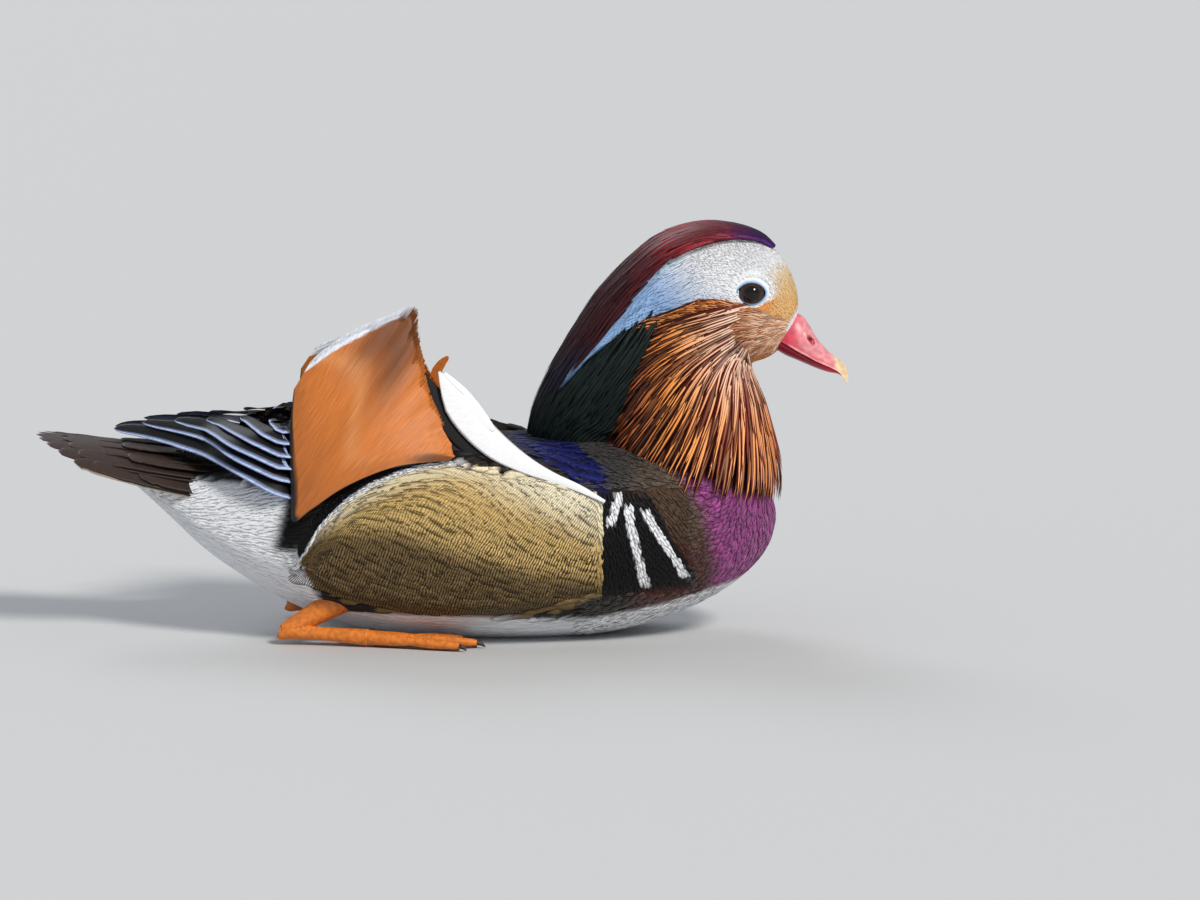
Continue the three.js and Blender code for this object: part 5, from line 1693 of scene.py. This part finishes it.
def sail_tones(s, t):
    shape = s.shape
    s, t = s.ravel(), t.ravel()
    c = np.tile(SAIL_ORANGE, (len(s), 1))
    c = painted(c, 0.35 * smooth(0.5, 0.0, t), SAIL_BROWN)
    tip = smooth(0.5, 0.88, t) * smooth(0.32, 0.52, s) * smooth(0.86, 0.68, s)
    c = painted(c, tip * 0.9, SAIL_BROWN * 0.5)
    corner = np.hypot((s - 0.03) / 0.1, (t - 0.2) / 0.3)
    c = painted(c, 0.8 * smooth(1, 0.5, corner), SAIL_BROWN * 0.35)
    # Painted highlight: a pale line along the sail's crease.
    c = painted(c, 0.4 * band(t - 0.9 * s, -0.02, 0.1, 0.08) * smooth(0.2, 0.5, t), SAIL_HIGHLIGHT)
    wide = np.interp(s, [0.62, 0.72, 0.8, 0.9, 1.0], [0.0, 0.02, 0.06, 0.12, 0.26])
    c = painted(c, smooth(1 - wide - 0.012, 1 - wide + 0.012, t) * (s > 0.62), SAIL_WHITE)
    black = np.interp(s, [0, 0.45, 0.55, 0.7, 1], [0.012, 0.02, 0.05, 0.045, 0.06])
    c = painted(c, smooth(black + 0.01, black - 0.01, t), BLACK)
    return c.reshape(*shape, 3)


def sail(side_name, side):
    rows, columns = 90, 46
    s = np.linspace(0, 1, rows)[:, None] * np.ones((1, columns))
    t = np.linspace(0, 1, columns)[None, :] * np.ones((rows, 1))
    ripple = 0.25 * np.sin(s * 60 + 4 * t) * t
    outer = sail_point(side, s, t, 0.4 + ripple)
    inner = sail_point(side, s, t, -0.4 + ripple)
    made = sheet(f"sail_{side_name}_vane", outer, inner)
    set_numbers(made.data, "barb_s", np.tile(s.ravel(), 2))
    set_numbers(made.data, "barb_t", np.tile(t.ravel(), 2))
    dressed(made, np.tile(sail_tones(s, t).reshape(-1, 3), (2, 1)), MATERIALS["sail"])
    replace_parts(made, f"sail_{side_name}")


def sail_fringe(side_name, side, count, seed):
    """Loose barbs along the margin."""
    random = np.random.default_rng(seed)
    s = np.sort(random.uniform(0.02, 0.99, count))
    rows = 5
    f = np.linspace(0, 1, rows)
    length = np.interp(s, [0, 0.3, 0.5, 0.62, 0.75, 0.9, 1], [0.02, 0.02, 0.035, 0.04, 0.05, 0.08, 0.2])
    length = length * random.uniform(0.5, 1.3, count)
    t = 0.93 + (0.07 + length[:, None]) * f
    bend = s[:, None] + random.normal(0, 0.004, (count, 1)) * f
    push = np.interp(f, [0, 0.4, 1], [0, 0.1, 0]) + random.normal(0, 0.5, (count, 1)) * f**2
    paths = sail_point(side, bend, t, push)
    outs = np.broadcast_to(np.array([0.1, side, 0.1]), paths.shape)
    halves = np.full((count, rows), 0.34) * (1 - 0.75 * f)[None, :]
    tones = sail_tones(s[:, None] * np.ones(rows), np.minimum(t, 0.999))
    tones = np.clip(tones * random.uniform(0.8, 1.15, (count, 1, 1)), 0, 1)
    return coat(f"sail_{side_name}_fringe", paths, outs, halves, 0.2 * halves, tones, tones,
                MATERIALS["brow"])


for side_name, side in SIDES.items():
    sail(side_name, side)
    sail_fringe(side_name, side, 1300, 91)
broad_vanes("sail_left_curl", [{
    "path": CURL, "up": (0, 1, 0.2), "halves": (3.4, 3.4), "tip": 1.6, "root_tone": SAIL_ORANGE * 0.7,
    "tip_tone": SAIL_ORANGE, "shaft": SAIL_BROWN * 0.5, "arch": 0.5,
}], MATERIALS["quill"])


# Bill: two mandibles from one table, with nostrils sunk into the upper one.
BILL_RED = tone(204, 66, 86)
BILL_PALE = tone(240, 176, 180)
BILL_DARK = tone(138, 6, 38)
BILL_BRIGHT = tone(206, 30, 52)
NAIL = tone(240, 206, 164)


def mandible(upper, rings=90, arc=40):
    end = 1.0 if upper else LOWER_BILL_END
    share = np.linspace(0, end, rings)[:, None]
    x, culmen, edge, under, wide, narrow = np.moveaxis(row_at(BILL, share), -1, 0)
    angle = np.linspace(0, np.pi, arc + 1)[None, :]
    half = wide if upper else narrow * (1 - (share / end) ** 6) + 0.6
    flat = edge if upper else edge - 0.35
    high = culmen - flat if upper else (under - flat) * (1 - 0.7 * (share / end) ** 8)
    power = 1.65 if upper else 2.2
    y = half * powered(np.cos(angle), 2.2)
    z = flat + high * powered(np.sin(angle), power)
    x = np.broadcast_to(x, y.shape)
    flat_y = np.linspace(-0.85, 0.85, 11)[None, :] * half
    x = np.concatenate([x, np.broadcast_to(x[:, :1], flat_y.shape)], 1)
    y = np.concatenate([y, flat_y], 1)
    z = np.concatenate([z, np.broadcast_to(flat, flat_y.shape)], 1)
    return np.stack([x, y, z], -1)


def bill_piece(name, upper):
    rings = mandible(upper)
    places = rings.reshape(-1, 3)
    x, y, z = places.T
    if upper:
        turn = math.radians(-50)
        along = (x - NOSTRIL[0]) * math.cos(turn) + (z - NOSTRIL[1]) * math.sin(turn)
        over = -(x - NOSTRIL[0]) * math.sin(turn) + (z - NOSTRIL[1]) * math.cos(turn)
        r = np.hypot(along / 2.7, over / 1.25)
        side = np.sign(y)
        on_side = np.abs(y) > 2.5
        places[:, 1] -= side * on_side * 1.7 * np.clip(1 - r, 0, 1) ** 0.5
        places[:, 1] += side * on_side * 0.35 * np.exp(-((r - 1.25) / 0.22) ** 2)
        lower_edge = np.interp(x, [row[0] for row in BILL], [row[2] for row in BILL])
        c = np.tile(BILL_RED, (len(places), 1))
        # Paler pink over the front of the upper mandible and a pale line above its cutting edge: partly the
        # horn's own tone, partly painted highlight.
        c = painted(c, 0.55 * smooth(152, 160, x) * smooth(0.2, 3.5, z - lower_edge), BILL_PALE)
        c = painted(c, 0.9 * band(z - lower_edge, 0.25, 0.95, 0.2) * smooth(150, 154, x), BILL_PALE)
        c = painted(c, smooth(0.2, 0.0, z - lower_edge), BILL_BRIGHT)
        c = painted(c, on_side * smooth(1.45, 1.15, r) * smooth(0.8, 1.0, r) * 0.6, BILL_PALE)
        c = painted(c, on_side * smooth(1.0, 0.85, r), BILL_BRIGHT)
        c = painted(c, on_side * smooth(0.75, 0.5, np.hypot((along + 0.6) / 1.7, over / 1.1)), BLACK)
        c = painted(c, smooth(171.5, 174.2, x + 0.2 * (z - 115)), NAIL)
    else:
        c = np.tile(BILL_DARK, (len(places), 1))
        c = painted(c, smooth(160, 171, x), BILL_BRIGHT)
    made = tube_object(name, places.reshape(rings.shape))
    dressed(made, c, MATERIALS["bill"])
    return made


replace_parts(bill_piece("bill_upper_horn", True), "bill_upper")
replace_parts(bill_piece("bill_lower_horn", False), "bill_lower")


# Eyes and lids

PUPIL = tone(6, 5, 6)
IRIS = tone(52, 26, 16)
IRIS_RIM = tone(14, 9, 8)


def eye_piece(side_name, side):
    rings, sides = 56, 64
    polar = np.linspace(0.02, np.pi - 0.02, rings)[:, None]
    turn = np.linspace(0, 2 * np.pi, sides, endpoint=False)[None, :]
    r = EYE["radius"] * np.sin(polar)
    bulge = 0.35 * smooth(0.65, 0.2, polar)
    ball = np.stack(np.broadcast_arrays(
        EYE["x"] + r * np.cos(turn), side * (EYE["out"] + EYE["radius"] * np.cos(polar) + bulge),
        EYE["z"] + r * np.sin(turn)), -1)
    made = tube_object(f"eye_{side_name}_ball", ball)
    radius = np.broadcast_to(r, (rings, sides)).ravel()
    c = painted(np.tile(IRIS, (len(radius), 1)), smooth(3.5, 3.1, radius), PUPIL)
    dressed(made, painted(c, smooth(4.6, 5.2, radius), IRIS_RIM), MATERIALS["eye"])
    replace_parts(made, f"eye_{side_name}")


# Rings of the lid on the ball: half length, half height, height over the ball. Those on the skin come after.
LID_RINGS = [
    (5.35, 4.35, -0.7), (5.4, 4.4, 0.08), (5.6, 4.6, 0.28),
    (5.9, 4.9, 0.28), (6.3, 5.3, 0.2), (6.8, 5.8, 0.0),
]
LID_SKIN_RINGS = [(7.4, 6.5, 0.1), (8.4, 7.5, -0.5), (8.0, 7.1, -1.9)]
LID_TONES = np.array([BLACK, BLACK, tone(72, 92, 124), tone(140, 172, 212), tone(178, 202, 230)])


def lid_piece(side_name, side):
    """A rim that lies on the eyeball and runs out into the skin round it."""
    count = 80
    angle = np.linspace(0, 2 * np.pi, count, endpoint=False)
    c, s = np.cos(angle), np.sin(angle)
    corner = 1 + 0.16 * np.maximum(0, -c) ** 6 + 0.05 * np.maximum(0, c) ** 6
    rings = []
    for long, high, over in LID_RINGS:
        x, z = long * corner * c, high * s
        reach = np.minimum(np.hypot(x, z), EYE["radius"] - 0.75)
        out = EYE["out"] + np.sqrt(EYE["radius"] ** 2 - reach**2) + over
        rings.append(np.stack([EYE["x"] + x, side * out, EYE["z"] + z], -1))
    for long, high, over in LID_SKIN_RINGS:
        places, _ = side_cast(EYE["x"] + long * corner * c, EYE["z"] + high * s, side)
        rings.append(places + np.array([0, side * over, 0]))
    rings.append(rings[0] - np.array([0, side * 2.5, 0]))
    vertices = np.moveaxis(np.array(rings), 0, 1).reshape(-1, 3)
    n = len(rings)
    faces = []
    for i in range(count):
        j = (i + 1) % count
        for k in range(n):
            m = (k + 1) % n
            faces.append((i * n + k, i * n + m, j * n + m, j * n + k))
    made = new_object(f"lid_{side_name}", vertices, turned_out(vertices, faces))
    tones = plumage(vertices).reshape(count, n, 3)
    tones[:, :len(LID_TONES)] = LID_TONES
    dressed(made, tones.reshape(-1, 3), MATERIALS["lid"])


for side_name, side in SIDES.items():
    eye_piece(side_name, side)
    lid_piece(side_name, side)


# Legs: the shank comes out of the belly, the tarsus lies on the floor and the webbed toes point forwards.
ANKLE = (-68, 38, 6.2)
SHANK_TOP = (-40, 34, 22)
TOE_BASE = (-32, 44, 4.2)
TOE_TIPS = [(12, 37, 2.4), (19, 48, 2.4), (11, 58, 2.4)]
HIND_TOE = (-44, 35, 2.4)
LEG_ORANGE = tone(222, 124, 40)
WEB_DUSK = tone(96, 66, 44)
CLAW = tone(50, 38, 34)


def limb(stops, sides=20, steps=6, scutes=0.0, spacing=2.2):
    """A smooth tube through stops of x, y, z and radius, with ridges round it."""
    stops = np.array(stops, float)
    t = np.linspace(0, 1, (len(stops) - 1) * steps + 1)
    rows = row_at(stops, t)
    points, radius = rows[:, :3], np.maximum(rows[:, 3], 0.15)
    forward = unit(np.gradient(points, axis=0))
    across = unit(np.cross(forward, np.array([0, 0, 1.0])))
    up = np.cross(across, forward)
    angle = np.linspace(0, 2 * np.pi, sides, endpoint=False)
    along = np.concatenate([[0], np.cumsum(np.linalg.norm(np.diff(points, axis=0), axis=1))])
    plates = scutes * (np.abs(np.sin(np.pi * along / spacing)) ** 0.6 - 0.5)
    r = radius[:, None] * (1 + plates[:, None] * np.clip(np.sin(angle), 0, 1))
    rings = points[:, None, :] + across[:, None, :] * (r * np.cos(angle))[..., None]
    rings = rings + up[:, None, :] * (r * np.sin(angle))[..., None]
    rings[..., 2] = np.maximum(rings[..., 2], 0.05)
    return rings


def web_rings(n):
    """The web between two toes, its upper face and then its lower one."""
    rows, columns = 26, 18
    f = np.linspace(0, 1, columns)[None, :]
    reach = 0.05 + (0.88 - 0.2 * np.sin(np.pi * f)) * np.linspace(0, 1, rows)[:, None]
    base = np.array(TOE_BASE)
    a, b = (base + (np.array(tip) - base) * reach[..., None] for tip in TOE_TIPS[n:n + 2])
    upper = a + (b - a) * f[..., None]
    lower = upper.copy()
    upper[..., 2] = 1.35 + 0.25 * np.sin(f * 22 + 0 * reach)
    lower[..., 2] = 0.3
    return np.concatenate([upper, lower[:, ::-1]], axis=1)


def leg_piece(side_name, side):
    forms = []
    colours = []

    def add(rings, colour):
        forms.append(tube_object("limb", rings))
        colours.append(np.tile(colour, (rings.shape[0] * rings.shape[1], 1)))

    def stops(start, end, shares, radii, drops=(0, 0, 0, 0, 0, 0)):
        """Places from start to end with their radii, let down by drops."""
        a, b = np.array(start), np.array(end)
        made = []
        for f, radius, drop in zip(shares, radii, drops):
            x, y, z = a + (b - a) * f
            made.append((x, side * y, z - drop, radius))
        return made

    shank = stops(SHANK_TOP, ANKLE, (0, 0.55, 1), (7, 5, 3.9)) + [(-71, side * 38.2, 6, 2.6)]
    add(limb(shank, 24, 14), LEG_ORANGE * 0.9)
    add(limb(stops(ANKLE, TOE_BASE, (0, 0.4, 1), (3.8, 2.9, 3.6)), 20, 26, 0.12), LEG_ORANGE)
    for tip in TOE_TIPS:
        toe = stops(TOE_BASE, tip, (0, 0.3, 0.45, 0.62, 0.86, 0.93), (3.2, 2.5, 1.9, 2.2, 1.7, 1.2))
        add(limb(toe, 16, 18, 0.14, 1.8), LEG_ORANGE)
        add(limb(stops(TOE_BASE, tip, (0.91, 0.96, 1.0), (1.2, 0.95, 0.3), (0, 0.3, 1.6)), 12, 8), CLAW)
    add(limb(stops(TOE_BASE, HIND_TOE, (0.1, 0.7, 0.9), (1.8, 1.5, 1.0)), 14, 10, 0.12), LEG_ORANGE)
    add(limb(stops(TOE_BASE, HIND_TOE, (0.85, 1.0), (1.0, 0.3)), 10, 8), CLAW)
    for n in range(len(TOE_TIPS) - 1):
        add(web_rings(n) * np.array([1, side, 1]), WEB_DUSK)
    made = joined(forms, f"foot_{side_name}")
    dressed(made, np.concatenate(colours), MATERIALS["foot"])
    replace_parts(made, f"leg_{side_name}")


for side_name, side in SIDES.items():
    leg_piece(side_name, side)
